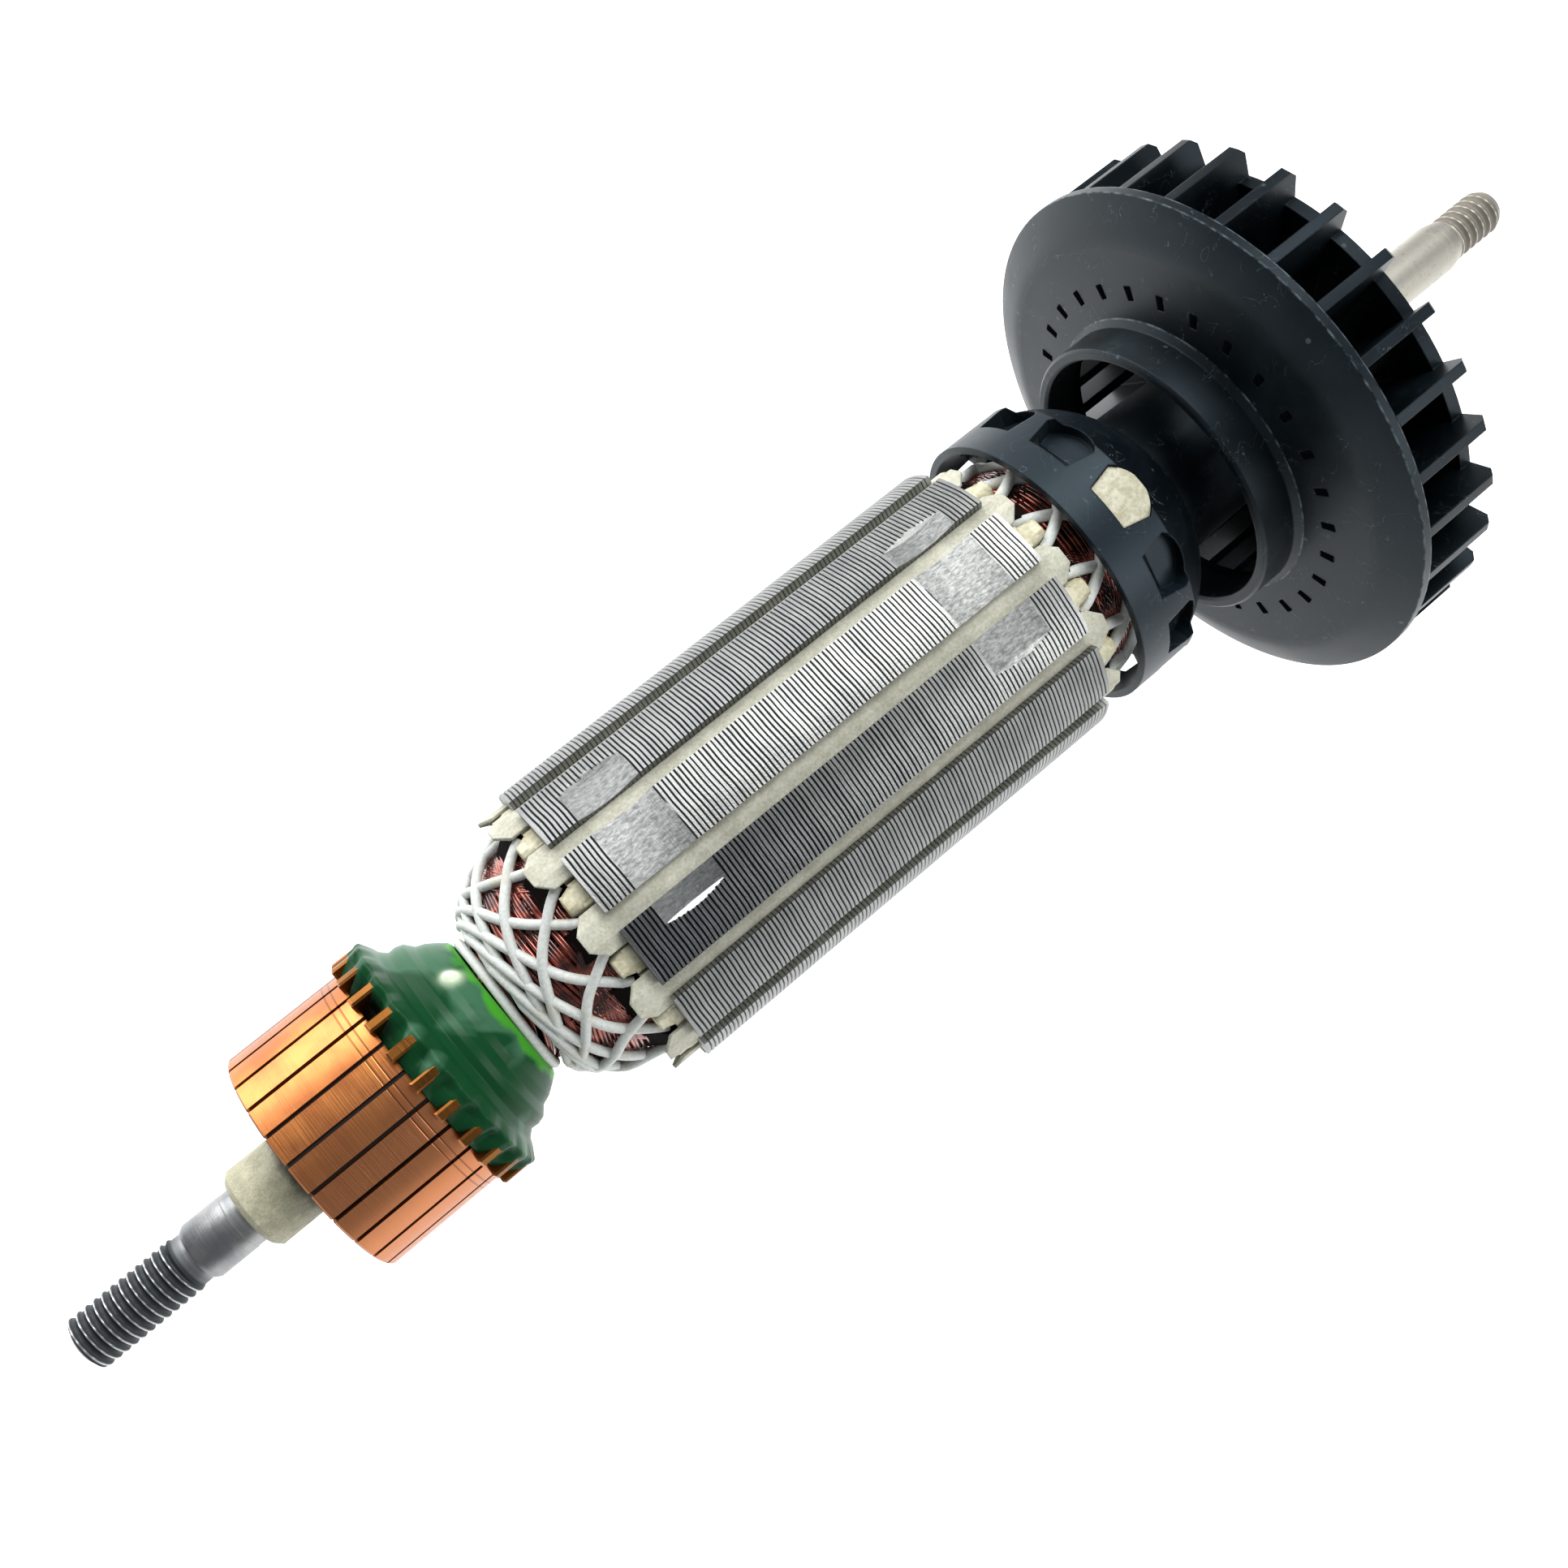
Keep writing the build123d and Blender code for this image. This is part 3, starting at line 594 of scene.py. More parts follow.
def cream(name, light, dark, grain_mm, blotch_mm, roughness, relief_mm):
    """Cream insulating material with a fine grain, soft blotches and small specks."""
    material, place = textured(name, Roughness=roughness, IOR=1.5)
    grain = add(material, "TexNoise", {"Vector": place, "Scale": PER_MM / grain_mm, "Detail": 4.0})
    blotch = add(material, "TexNoise", {"Vector": place, "Scale": PER_MM / blotch_mm, "Detail": 3.0})
    both = add(material, "Math", {0: grain, 1: blotch}, operation="ADD")
    share = add(material, "MapRange", {"Value": both, "From Min": 0.75, "From Max": 1.2})
    cells = add(material, "TexVoronoi", {"Vector": place, "Scale": PER_MM / SPECK_MM})
    speck = add(material, "MapRange", {
        "Value": cells, "From Min": 0.05, "From Max": 0.13, "To Min": 0.5, "To Max": 0.0})
    colour = layered(material, light, (share, dark), (speck, "#8E8468"))
    return finish(material, both, 0.5, relief_mm, 0.3, Base_Color=colour)


def painted_gap_shade(material, start, end, colour):
    """Paint shade over a finish between two places along the shaft, unevenly."""
    shader = material.node_tree.nodes["Principled BSDF"]
    own_colour = shader.inputs["Base Color"].links[0].from_socket
    place = add(material, "TexCoord").outputs["Object"]
    along = add(material, "SeparateXYZ", {0: place}).outputs["X"]
    uneven = add(material, "TexNoise", {"Vector": place, "Scale": 0.8 * PER_MM, "Detail": 4.0})
    shifted = add(material, "Math", {0: uneven, 1: 1.6 * MM, 2: along}, operation="MULTIPLY_ADD")
    share = add(material, "MapRange", {
        "Value": shifted, "From Min": start, "From Max": end, "To Max": 0.85})
    with_shade = add(material, "Mix", {SHARE: share, FROM: own_colour, TO: colour})
    to_shader(material, Base_Color=with_shade)


paper = cream("pressed_slot_paper", "#C2C1B2", "#A6A594", 0.3, 2.2, 0.85, 0.09)
insulator = cream("moulded_cream_nylon", "#CBC7AE", "#AEA786", 0.5, 2.0, 0.5, 0.06)
bush_plastic = cream("moulded_cream_phenolic", "#BFBBA0", "#9E9B82", 0.2, 1.2, 0.6, 0.06)
putty = cream("hardened_balancing_putty", "#C6C3AE", "#A29E86", 0.4, 1.5, 0.55, 0.08)
# Painted shade on the bush's end, in the gap next to the commutator
painted_gap_shade(bush_plastic, bar_low.x - 1.5 * MM, bar_low.x - 0.6 * MM, "#2E2D28")
dress([n for n in nodes if n.startswith("slot_liner")], paper)
dress(["end_insulator_front", "end_insulator_rear"], insulator)
dress(["front_bush"], bush_plastic)
dress(["balancing_putty"], putty)
dress(["shaft_insulating_sleeve"], insulator)

# %% [markdown]
# ## Insulator lugs
# A lug of the end insulator covers each tooth's end, so that the wire isn't cut by the steel. Its
# section is a square with soft corners (a superellipse) that shrinks towards the tip.

# %% Lugs
LUG_SIDES = 24
LUG_SQUARENESS = 5
FRONT_LUG_LEN = 2.45
REAR_LUG_LEN = 3.1


def lug_rings(angle, face, side, length):
    """A rounded, tapering lug on the end insulator, over the tooth that stands at this angle."""
    # Distance from the core, half width and height of the top, in mm
    stations = ((0.0, 1.48, 15.38), (0.5, 1.46, 15.4), (1.1, 1.38, 15.36),
                (0.7 * length, 1.2, 15.2), (0.9 * length, 1.05, 15.0),
                (0.98 * length, 0.85, 14.75), (length, 0.5, 14.4))
    turn = np.linspace(0, 2 * math.pi, LUG_SIDES + 1)[:-1]
    cosine, sine = np.cos(turn), np.sin(turn)
    power = LUG_SQUARENESS
    square = (np.abs(cosine) ** power + np.abs(sine) ** power) ** (-1 / power)
    rings = []
    for out, half, top in stations:
        low = 12.6 if out < 0.9 * length else 12.9
        across = half * MM * square * cosine
        up = ((top + low) / 2 + (top - low) / 2 * square * sine) * MM
        y = up * math.cos(angle) - across * math.sin(angle)
        z = up * math.sin(angle) + across * math.cos(angle)
        rings.append(np.stack([np.full(LUG_SIDES, face + side * out * MM), y, z], 1))
    return np.array(rings)


teeth = [TOP + n * TOOTH_PITCH for n in range(TOOTH_COUNT)]
lugs = [lug_rings(angle, core_start, -1, FRONT_LUG_LEN) for angle in teeth]
lugs += [lug_rings(angle, core_end, 1, REAR_LUG_LEN) for angle in teeth]
piece("insulator_lugs", lugs, insulator, 70)

# %% [markdown]
# ## Copper
# The bars are hard-drawn copper, turned true after assembly. The lathe leaves fine rings round the
# axis, which is why each bar glows in a soft streak. Two scored lines mark the end of the brush
# track, and the metal has tarnished to brown in places. The bars over the top and on the side turned
# from the light are painted browner, and their end face dark, as painted shade. The hooks stay dark
# with varnish.

# %% Commutator copper
SCORE_FROM_END = (1.45 * MM, 2.2 * MM)


def score_mask(material, along):
    """Where the two scored lines lie, near the end of the brush track."""
    lines = []
    for offset in SCORE_FROM_END:
        away = add(material, "Math", {0: along, 1: bar_end - offset}, operation="SUBTRACT")
        near = add(material, "Math", {0: away}, operation="ABSOLUTE")
        lines.append(add(material, "MapRange", {
            "Value": near, "From Min": 0.05 * MM, "From Max": 0.12 * MM, "To Min": 1.0, "To Max": 0.0}))
    return add(material, "Math", {0: lines[0], 1: lines[1]}, operation="MAXIMUM")


def copper_tarnish_and_shade(material, stain, around):
    """Copper's colour: tarnished brown in patches and on some bars, with painted shade browning the bars
    over the top and on the side turned away.
    """
    warm = add(material, "MapRange", {"Value": stain, "From Min": 0.38, "From Max": 0.62})
    # Painted shade: the bars over the top are browner
    over = add(material, "MapRange", {
        "Value": around, "From Min": 8.0 * MM, "From Max": 12.0 * MM, "To Max": 0.9})
    # Painted shade: the bars on the side turned from the light are browner
    away = add(material, "MapRange", {"Value": around, "From Min": 1.5 * MM, "From Max": -7.0 * MM})
    own = add(material, "ObjectInfo").outputs["Random"]
    # Each bar's own random tone, added to that painted shade
    uneven = add(material, "Math", {0: own, 1: 0.4, 2: away}, operation="MULTIPLY_ADD")
    return layered(material, "#D4874A", (warm, "#B46C3E"), (over, "#98603E"), (uneven, "#BC7A52"))


def commutator_copper():
    """Turned copper with score marks, varnished hooks and an end face painted dark as shade."""
    material, place = textured("turned_copper", Metallic=1.0)
    apart = add(material, "SeparateXYZ", {0: place})
    along = apart.outputs["X"]
    lines = tool_lines(material, place, 9, 0.1)
    stain = add(material, "TexNoise", {"Vector": place, "Scale": 0.25 * PER_MM, "Detail": 4.0})
    colour = copper_tarnish_and_shade(material, stain, apart.outputs["Y"])
    scores = score_mask(material, along)
    faint = add(material, "Math", {0: scores, 1: 0.55}, operation="MULTIPLY")
    on_hook = add(material, "MapRange", {
        "Value": along, "From Min": bar_high.x - 3.4 * MM, "From Max": bar_high.x - 3.1 * MM})
    varnish = add(material, "Mix", {SHARE: stain, FROM: "#4A2A12", TO: "#96622C"})
    # Painted shade: the bars' end face next to the moulding is near black
    face = add(material, "MapRange", {
        "Value": along, "From Min": bar_low.x + 0.02 * MM, "From Max": bar_low.x + 0.15 * MM,
        "To Min": 0.9, "To Max": 0.0})
    colour = layered(material, colour, (faint, "#4A2A20"), (on_hook, varnish), (face, "#14110F"))
    rough = add(material, "MapRange", {"Value": lines, "To Min": 0.26, "To Max": 0.44})
    height = add(material, "Math", {0: lines, 1: scores}, operation="SUBTRACT")
    return finish(material, height, 0.5, 0.04, Base_Color=colour, Roughness=rough)


copper = commutator_copper()
phenolic = surface("moulded_black_phenolic", Base_Color="#151413", Roughness=0.55)
dress([n for n in nodes if n.startswith("commutator_bar")], copper)
dress(["commutator_moulding"], phenolic)

# %% [markdown]
# ## Green resin
# After winding, the lead wires are dipped in a green epoxy. It runs between the hooks and down to
# the winding's neck, and cures glossy, with soft lumps where it covers the wires.

# %% Resin material
def green_resin():
    """Epoxy in two greens, lime at the neck, pale on the drop, and painted black as shade in the hollow.
    """
    material, place = textured("dipped_green_epoxy", Roughness=0.33, IOR=1.5, Specular_IOR_Level=0.11)
    along = add(material, "SeparateXYZ", {0: place}).outputs["X"]
    drop, shaded_hollow = [add(material, "Attribute", attribute_name=name).outputs["Fac"]
                    for name in ("drop", "shaded_hollow")]
    moved = add(material, "Mapping", {
        "Vector": place, "Location": (0.0, 3.0, 1.0), "Scale": [0.10 * PER_MM] * 3})
    cloud = add(material, "TexNoise", {"Vector": moved, "Scale": 1.0, "Detail": 2.5, "Distortion": 1.0})
    film = add(material, "MapRange", {"Value": cloud, "From Min": 0.47, "From Max": 0.56})
    uneven = add(material, "TexNoise", {"Vector": place, "Scale": 0.35 * PER_MM, "Detail": 2.0})
    shifted = add(material, "Math", {0: uneven, 1: 2.2 * MM, 2: along}, operation="MULTIPLY_ADD")
    neck = add(material, "MapRange", {
        "Value": shifted, "From Min": resin_end + 0.3 * MM, "From Max": resin_end + 0.8 * MM})
    # The hollow before the upper hooks is painted near black as shade
    colour = layered(material, "#0D3D20", (film, "#375F46"), (neck, "#3C8A26"), (drop, "#D6E6C8"),
                     (shaded_hollow, "#0A0C0A"))
    return finish(material, film, 0.12, 0.05, Base_Color=colour)


resin_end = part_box("lead_resin")[1].x
resin = green_resin()

# %% [markdown]
# ## The resin body
# Poured resin has no sharp corners: it climbs each hook in a small fillet, sags between them and
# runs down to the neck in soft steps. It is a grid of points round the axis, whose radius is a
# profile along the shaft plus those hills and hollows.

# %% Resin sizes
BAR_COUNT = 24
BAR_PITCH = 2 * math.pi / BAR_COUNT
FIRST_BAR = math.radians(91.6)
HOOK_TOP = 13.9 * MM
DROP_PLACE = (31.7 - bar_end / MM, math.radians(70.6))
DROP_LEN = 0.75
DROP_SPREAD = 0.075
HOLLOW_ANGLE = math.radians(66)
HOLLOW_SPREAD = math.radians(16)
RESIN_SIDES = 360
RESIN_RINGS = 110
# Distance from the bars' end and radius, in mm
RESIN_PROFILE = np.array([
    (0.02, 12.75), (0.5, 13.1), (1.1, 13.4), (1.7, 13.6), (2.3, 13.7), (2.8, 13.9), (3.1, 13.85),
    (3.5, 13.2), (3.8, 12.7), (4.1, 12.0), (4.8, 11.35), (5.6, 11.4), (6.4, 11.15), (7.2, 10.2),
    (8.1, 9.85), (9.0, 9.2), (9.9, 8.45), (10.05, 8.1),
])
print("bar pitch", round(math.degrees(BAR_PITCH), 1), "degrees")

# %% Resin surface
WAVES = 7
PHASE_LIMIT = 6.28
HOOK_MIDDLE = 1.9
HOOK_REACH = 2.1
FILLET_FROM = 0.55 * MM
FILLET_FADE = 0.28 * MM
FILLET_RISE = 0.25 * MM
SAG_FROM = 0.7 * MM
SAG_SLOPE = 0.55
HILL_RISE = 0.42 * MM
RIPPLE_RISE = 0.05 * MM
HOLLOW_END = 2.2
HOLLOW_DEPTH = 1.3 * MM
DROP_RISE = 0.8 * MM


def smooth_noise(seed, waves_x, waves_a, x, a):
    """Soft random hills that close up round the axis."""
    pick = np.random.default_rng(seed)
    total = 0
    for _ in range(WAVES):
        turns = pick.integers(1, waves_a)
        rate = pick.uniform(0.2 * waves_x, waves_x)
        total = total + np.sin(x * rate + turns * a + pick.uniform(0, PHASE_LIMIT))
    return total / WAVES


def resin_surface(x, a):
    """Radius, drop mark and painted shade mark of the hollow at x mm from the bars' end and angle a."""
    from_hook = np.abs((a - FIRST_BAR + BAR_PITCH / 2) % BAR_PITCH - BAR_PITCH / 2) * HOOK_TOP
    over_hooks = np.clip(1 - np.abs(x - HOOK_MIDDLE) / HOOK_REACH, 0, 1)
    climb = FILLET_RISE * np.exp(-np.clip(from_hook - FILLET_FROM, 0, None) / FILLET_FADE)
    sag = np.clip(from_hook - SAG_FROM, 0, None) * SAG_SLOPE
    hills = smooth_noise(3, 0.5, 5, x, a) * HILL_RISE * np.clip((x - 1.5) / 3, 0.15, 1)
    ripple = smooth_noise(8, 0.9, 10, x, a) * RIPPLE_RISE
    radius = np.interp(x, *RESIN_PROFILE.T) * MM + over_hooks * (climb - sag) + hills + ripple
    # A hollow before the upper hooks, whose mark paints shade into it
    upper = np.exp(-((a - HOLLOW_ANGLE) / HOLLOW_SPREAD) ** 2)
    shaded_hollow = upper * np.clip((HOLLOW_END - x) / 1.2, 0, 1) * np.clip(from_hook / (0.8 * MM), 0, 1)
    radius = np.minimum(radius - HOLLOW_DEPTH * shaded_hollow, HOOK_TOP + 0.15 * MM)
    drop = np.exp(-((x - DROP_PLACE[0]) / DROP_LEN) ** 2 - ((a - DROP_PLACE[1]) / DROP_SPREAD) ** 2)
    return radius + DROP_RISE * drop, np.clip(drop * 2.0, 0, 1), np.clip(shaded_hollow * 1.6, 0, 1)


# %% Resin mesh
FRONT_R = 8.3 * MM
NECK_R = 6.0 * MM
resin_x = np.linspace(RESIN_PROFILE[0, 0], RESIN_PROFILE[-1, 0], RESIN_RINGS)[:, None]
resin_angles = turn_angles(RESIN_SIDES)
radius, drop, shaded_hollow = resin_surface(resin_x, resin_angles)
radius = np.vstack([np.full(RESIN_SIDES, FRONT_R), radius, np.full(RESIN_SIDES, NECK_R)])
closed_x = bar_end + np.vstack([resin_x[:1], resin_x, resin_x[-1:]]) * MM
resin_marks = {"drop": np.pad(drop, ((1, 1), (0, 0))), "shaded_hollow": np.pad(shaded_hollow, ((1, 1), (0, 0)))}
piece("poured_resin", [about_shaft(closed_x, radius, resin_angles)], resin, 60,
      ("lead_resin",), resin_marks)

# %% [markdown]
# ## Fan plastic
# The fan is moulded in glass-filled nylon. The mould's fine grain gives a soft, even sheen, and the
# thin edges carry pale flash and scuffs.

# %% Fan marks
COLLAR_LEN = 5.1 * MM
COLLAR_R = 17.9 * MM
DISH_DEPTH = 2.5 * MM
RIM_WIDTH = 1.0 * MM
slot_face = shroud_low.x + COLLAR_LEN
rim_x = slot_face + DISH_DEPTH
rim_r = shroud_high.z
FLASH_LINES = ((rim_x, rim_r), (rim_x + RIM_WIDTH, rim_r), (slot_face, COLLAR_R))


def flash_mask(material, place):
    """Where mould flash shows: broken lines along three round edges."""
    apart = add(material, "SeparateXYZ", {0: place})
    flat = add(material, "CombineXYZ", {"Y": apart.outputs["Y"], "Z": apart.outputs["Z"]})
    radius = add(material, "VectorMath", {0: flat}, operation="LENGTH")
    gaps = patches(material, place, 0.9, 6.0, 0.42, 0.66)
    flash = 0.0
    for place_x, place_r in FLASH_LINES:
        off_x = add(material, "Math", {0: apart.outputs["X"], 1: place_x}, operation="SUBTRACT")
        off_r = add(material, "Math", {0: radius, 1: place_r}, operation="SUBTRACT")
        off = add(material, "CombineXYZ", {"X": off_x, "Y": off_r})
        away = add(material, "VectorMath", {0: off}, operation="LENGTH")
        line = add(material, "MapRange", {
            "Value": away, "From Min": 0.05 * MM, "From Max": 0.16 * MM, "To Min": 1.0, "To Max": 0.0})
        flash = add(material, "Math", {0: flash, 1: line}, operation="MAXIMUM")
    return add(material, "Math", {0: flash, 1: gaps}, operation="MULTIPLY")


def scuffed(material, place, colour):
    """Pale veins where the plastic was handled, and small round specks."""
    paths = add(material, "TexNoise", {
        "Vector": place, "Scale": 0.22 * PER_MM, "Detail": 3.0, "Distortion": 2.0})
    vein = add(material, "Math", {0: paths, 1: 0.5, 2: 0.0025}, operation="COMPARE")
    some = patches(material, place, 0.3, 2.0, 0.50, 0.60, 0.7)
    scuff = add(material, "Math", {0: vein, 1: some}, operation="MULTIPLY")
    cells = add(material, "TexVoronoi", {"Vector": place, "Scale": 0.24 * PER_MM})
    speck = add(material, "MapRange", {
        "Value": cells, "From Min": 0.05, "From Max": 0.08, "To Min": 0.6, "To Max": 0.0})
    return layered(material, colour, (scuff, "#5A6469"), (speck, "#4C565B"))


# %% Fan material
DOME_SHADE_FROM = 7.3 * MM


def fan_plastic():
    """Black nylon with a cloudy film of dust, scuffs and flash, painted paler up to the dome, which
    stays black as painted shade.
    """
    material, place = textured("moulded_glass_filled_nylon", IOR=1.53, Specular_IOR_Level=0.3,
                               Specular_Tint="#BCD2E0")
    along = add(material, "SeparateXYZ", {0: place}).outputs["X"]
    cloud = add(material, "TexNoise", {"Vector": place, "Scale": 0.12 * PER_MM, "Detail": 4.0})
    grain = add(material, "TexNoise", {"Vector": place, "Scale": 6.0 * PER_MM, "Detail": 3.0})
    # Painted shade: the dome stays black, and the fan up to it is painted paler
    paler_short_of_dome = add(material, "MapRange", {
        "Value": along, "From Min": fan_low.x + DOME_SHADE_FROM + 0.6 * MM,
        "From Max": fan_low.x + DOME_SHADE_FROM, "To Max": 0.6})
    dusty = add(material, "MapRange", {
        "Value": cloud, "From Min": 0.45, "From Max": 0.75, "To Max": 0.45})
    paler = add(material, "Math", {0: paler_short_of_dome, 1: dusty}, operation="MAXIMUM")
    black = add(material, "Mix", {SHARE: paler, FROM: "#03070B", TO: "#1B242A"})
    scuffs = scuffed(material, place, black)
    colour = add(material, "Mix", {SHARE: flash_mask(material, place), FROM: scuffs, TO: "#596468"})
    rough = add(material, "MapRange", {"Value": cloud, "To Min": 0.32, "To Max": 0.5})
    return finish(material, grain, 0.25, 0.03, 0.25, Base_Color=colour, Roughness=rough)


nylon = fan_plastic()
dress(["fan_wheel", "fan_shroud"], nylon)
print("the shroud's rim has a radius of", round(rim_r / MM, 2), "mm")

# %% [markdown]
# ## Painted shade in the slots
# Each blade ends in a tenon that sits a little below the shroud's face, and the recess over it
# lies in shade. A thin domed pad in each recess is painted near black as that shade.

# %% Slot shade pads
BLADE_COUNT = 29
FIRST_BLADE = math.radians(101.2)
BLADE_TILT = math.radians(-6.6)
SLOT_R = 21.05 * MM
# Half the slot's width and length
PAD_Y = np.array([-1, -1, -1, 1, 1, 1]) * 0.43 * MM
PAD_Z = np.array([-1, 0, 1, 1, 0, -1]) * 0.83 * MM
# Depth below the shroud's face in mm, and share of the slot
PAD_STEPS = ((0.10, 0.55), (0.14, 0.9), (0.22, 1.0), (0.43, 1.0))


def shade_pad(turn):
    """A flat pad in the recess of one slot, as rings from its crown down."""
    rings = []
    around = turn - TOP
    for depth, share in PAD_STEPS:
        y, z = PAD_Y * share, PAD_Z * share
        tilted_y = y * math.cos(BLADE_TILT) - z * math.sin(BLADE_TILT)
        tilted_z = y * math.sin(BLADE_TILT) + z * math.cos(BLADE_TILT) + SLOT_R
        x = np.full(len(y), slot_face + depth * MM)
        rings.append(np.stack([x, tilted_y * math.cos(around) - tilted_z * math.sin(around),
                               tilted_y * math.sin(around) + tilted_z * math.cos(around)], 1))
    return np.array(rings)


def slot_shade_material():
    """Near-black painted shade, darker in patches, with no gloss."""
    material, place = textured("painted_slot_shade", Roughness=1.0, Specular_IOR_Level=0.0)
    shade_noise = add(material, "TexNoise", {"Vector": place, "Scale": 3.0 * PER_MM, "Detail": 4.0})
    # Near-black paint standing for the shade in each slot
    colour = add(material, "Mix", {SHARE: shade_noise, FROM: "#000001", TO: "#0B0E11"})
    to_shader(material, Base_Color=colour)
    return material


pads = [shade_pad(FIRST_BLADE + n * 2 * math.pi / BLADE_COUNT) for n in range(BLADE_COUNT)]
piece("slot_dust", pads, slot_shade_material(), 60)

# %% [markdown]
# ## Enamelled wire
# Magnet wire is bare copper under a thin coat of dark red enamel, so it shines twice: a sharp
# highlight on the enamel and a warm glow from the metal below. The coils' solid filling, seen only
# between the wires, is painted nearly black as shade.

# %% Wire materials
def wire_enamel():
    """Copper under dark red enamel, with paler stretches."""
    material, place = textured("enamelled_copper_wire", Metallic=0.8, Roughness=0.22, Coat_Weight=1.0,
                               Coat_Roughness=0.06)
    paler = patches(material, place, 0.6, 3.0, 0.4, 0.62)
    colour = add(material, "Mix", {SHARE: paler, FROM: "#3C130E", TO: "#9A4634"})
    to_shader(material, Base_Color=colour)
    return material


enamel = wire_enamel()
# The CAD coil solids are painted near black, as shade between the wires
shade_filling = surface("wire_in_shadow", Base_Color="#0D0605", Roughness=0.9, Specular_IOR_Level=0.1)
dress(["winding_front", "winding_rear"], shade_filling)
dress(["slot_windings"], enamel)

# %% [markdown]
# ## Coil ends
# Each coil leaves one slot and enters the fifth slot on. Outside the core its wires bend at once
# and run round the end in an arch, so the coil ends look like a shallow basket of crossing wires.
# Under them the CAD solid stays, painted dark as shade.

# %% Coil wires
WIRE_R = 0.25 * MM
WIRE_SIDES = 6
COIL_SPAN = 5
WIRES_A_COIL = 15
LAYERS = 3
LAYER_STEP = 0.36 * MM
FIRST_REACH = 2.4 * MM
FRONT_REACH = 8.2 * MM
REAR_REACH = 10.5 * MM
SLOT_SPREAD = 4.5
# Each dome is a profile of the coil ends: distance from the core and radius
FRONT_DOME = np.array([(0, 13.9), (2, 13.7), (3.7, 13.1), (5.4, 12.45), (6.8, 11.95), (8.7, 10.8),
                       (10, 9.6), (11, 8.4), (12.4, 7.1), (13, 6.9)]).T * MM
REAR_DOME = np.array([(0, 13.6), (2, 13.5), (4, 13.2), (6.4, 12.8), (8, 12.2), (9.5, 11.2),
                      (10.8, 9.8), (11.9, 8.6), (12.3, 8.4)]).T * MM


def slot_angle(n):
    """Angle of slot n about the shaft."""
    return TOP + (n + 0.5) * TOOTH_PITCH


def coil_wires(dome, side, face, deepest):
    """Nested arches of wire from slot to slot, at the core's face; side is -1 in front, 1 behind."""
    tubes = []
    t = np.linspace(0, 1, 32)
    for n in range(TOOTH_COUNT):
        for w in range(WIRES_A_COIL):
            share = w / (WIRES_A_COIL - 1)
            reach = FIRST_REACH + (deepest - FIRST_REACH) * share + random.normal(0, 0.10 * MM)
            spread = SLOT_SPREAD * (2 * share - 1) + random.normal(0, 0.3)
            turn = COIL_SPAN * 360 / TOOTH_COUNT + 2 * spread
            angle = slot_angle(n) + np.radians(turn * t - spread)
            out = 0.4 * MM + reach * np.sin(math.pi * t) ** 0.4
            drop = (0.12 + random.uniform(0, 0.12)) * MM + n % LAYERS * LAYER_STEP
            path = about_shaft(face + side * out, np.interp(out, *dome) - drop, angle)
            tubes.append(tube_rings(path, WIRE_R, WIRE_SIDES))
    return tubes


# %% [markdown]
# ## Lead wires
# From the coils to the commutator the leads wind down the neck, a few side by side each time, and
# disappear under the cord and the resin.

# %% Lead wires round the neck
LEAD_BUNDLES = 12
LEADS_A_BUNDLE = 4
LEAD_SWEEP = math.radians(125)
LEAD_GAP = 0.07
# Distance from the core and length along the shaft, in mm
LEADS_FROM = 8.4
LEADS_LEN = 4.4


def neck_leads(face):
    """Bundles of wires that wind down the neck towards the commutator."""
    tubes = []
    t = np.linspace(0, 1, 34)
    out = (LEADS_FROM + LEADS_LEN * t) * MM
    for n in range(LEAD_BUNDLES):
        for w in range(LEADS_A_BUNDLE):
            start = n * 2 * math.pi / LEAD_BUNDLES + w * LEAD_GAP
            angle = start + LEAD_SWEEP * t + random.normal(0, 0.01)
            drop = (0.25 + 0.3 * (n % 2) + random.uniform(0, 0.1)) * MM
            path = about_shaft(face - out, np.interp(out, *FRONT_DOME) - drop, angle)
            tubes.append(tube_rings(path, WIRE_R, WIRE_SIDES))
    return tubes


front_wires = coil_wires(FRONT_DOME, -1, core_start, FRONT_REACH) + neck_leads(core_start)
piece("coil_wires_front", front_wires, enamel, 80, capped=False)
rear_wires = coil_wires(REAR_DOME, 1, core_end, REAR_REACH)
piece("coil_wires_rear", rear_wires, enamel, 80, capped=False)

# %% [markdown]
# ## Lacing cord
# The coil ends are bound with a woven polyester cord, stiffened with varnish to a dull grey white.
# From each slot one stretch runs forwards round the shaft and one backwards, and both end in the
# turns round the neck. Near the core one family lies on top, and near the neck the other one does.

# %% Cord material
def cord_material():
    """Grey white polyester with a fibrous relief and yellow varnish stains."""
    material, place = textured("varnished_polyester_cord", Roughness=0.55, IOR=1.5, Sheen_Weight=0.1)
    fibre = add(material, "TexNoise", {"Vector": place, "Scale": 3.0 * PER_MM, "Detail": 4.0})
    stains = patches(material, place, 0.5, 2.0, 0.55, 0.75, 0.5)
    colour = layered(material, "#A9ADA9", (fibre, "#DCDFDB"), (stains, "#B9B08F"))
    return finish(material, fibre, 0.6, 0.08, Base_Color=colour)


cord = cord_material()

# %% Front lacing
CORD_R = 0.53 * MM
CORD_SIDES = 12
CORD_LIFT = 0.42 * MM
CORD_SPAN = 7
# Angles in degrees, distances from the core in mm
SWEEP_OUT = 23.0
SWEEP_BACK = 27.5
LEAVES_AT = 7.0
SWEEP_START = 2.0
NECK_LIMIT = 13.5
FIRST_OUT = 1.6
# How far a stretch lies over the other family, by its share of the way
OVER_AT = (0, 0.2, 0.38, 0.5, 0.62, 0.8, 1)
OVER_LIFT = (0.30, 0.38, 0.0, 0.2, 0.45, 0.0, -0.05)


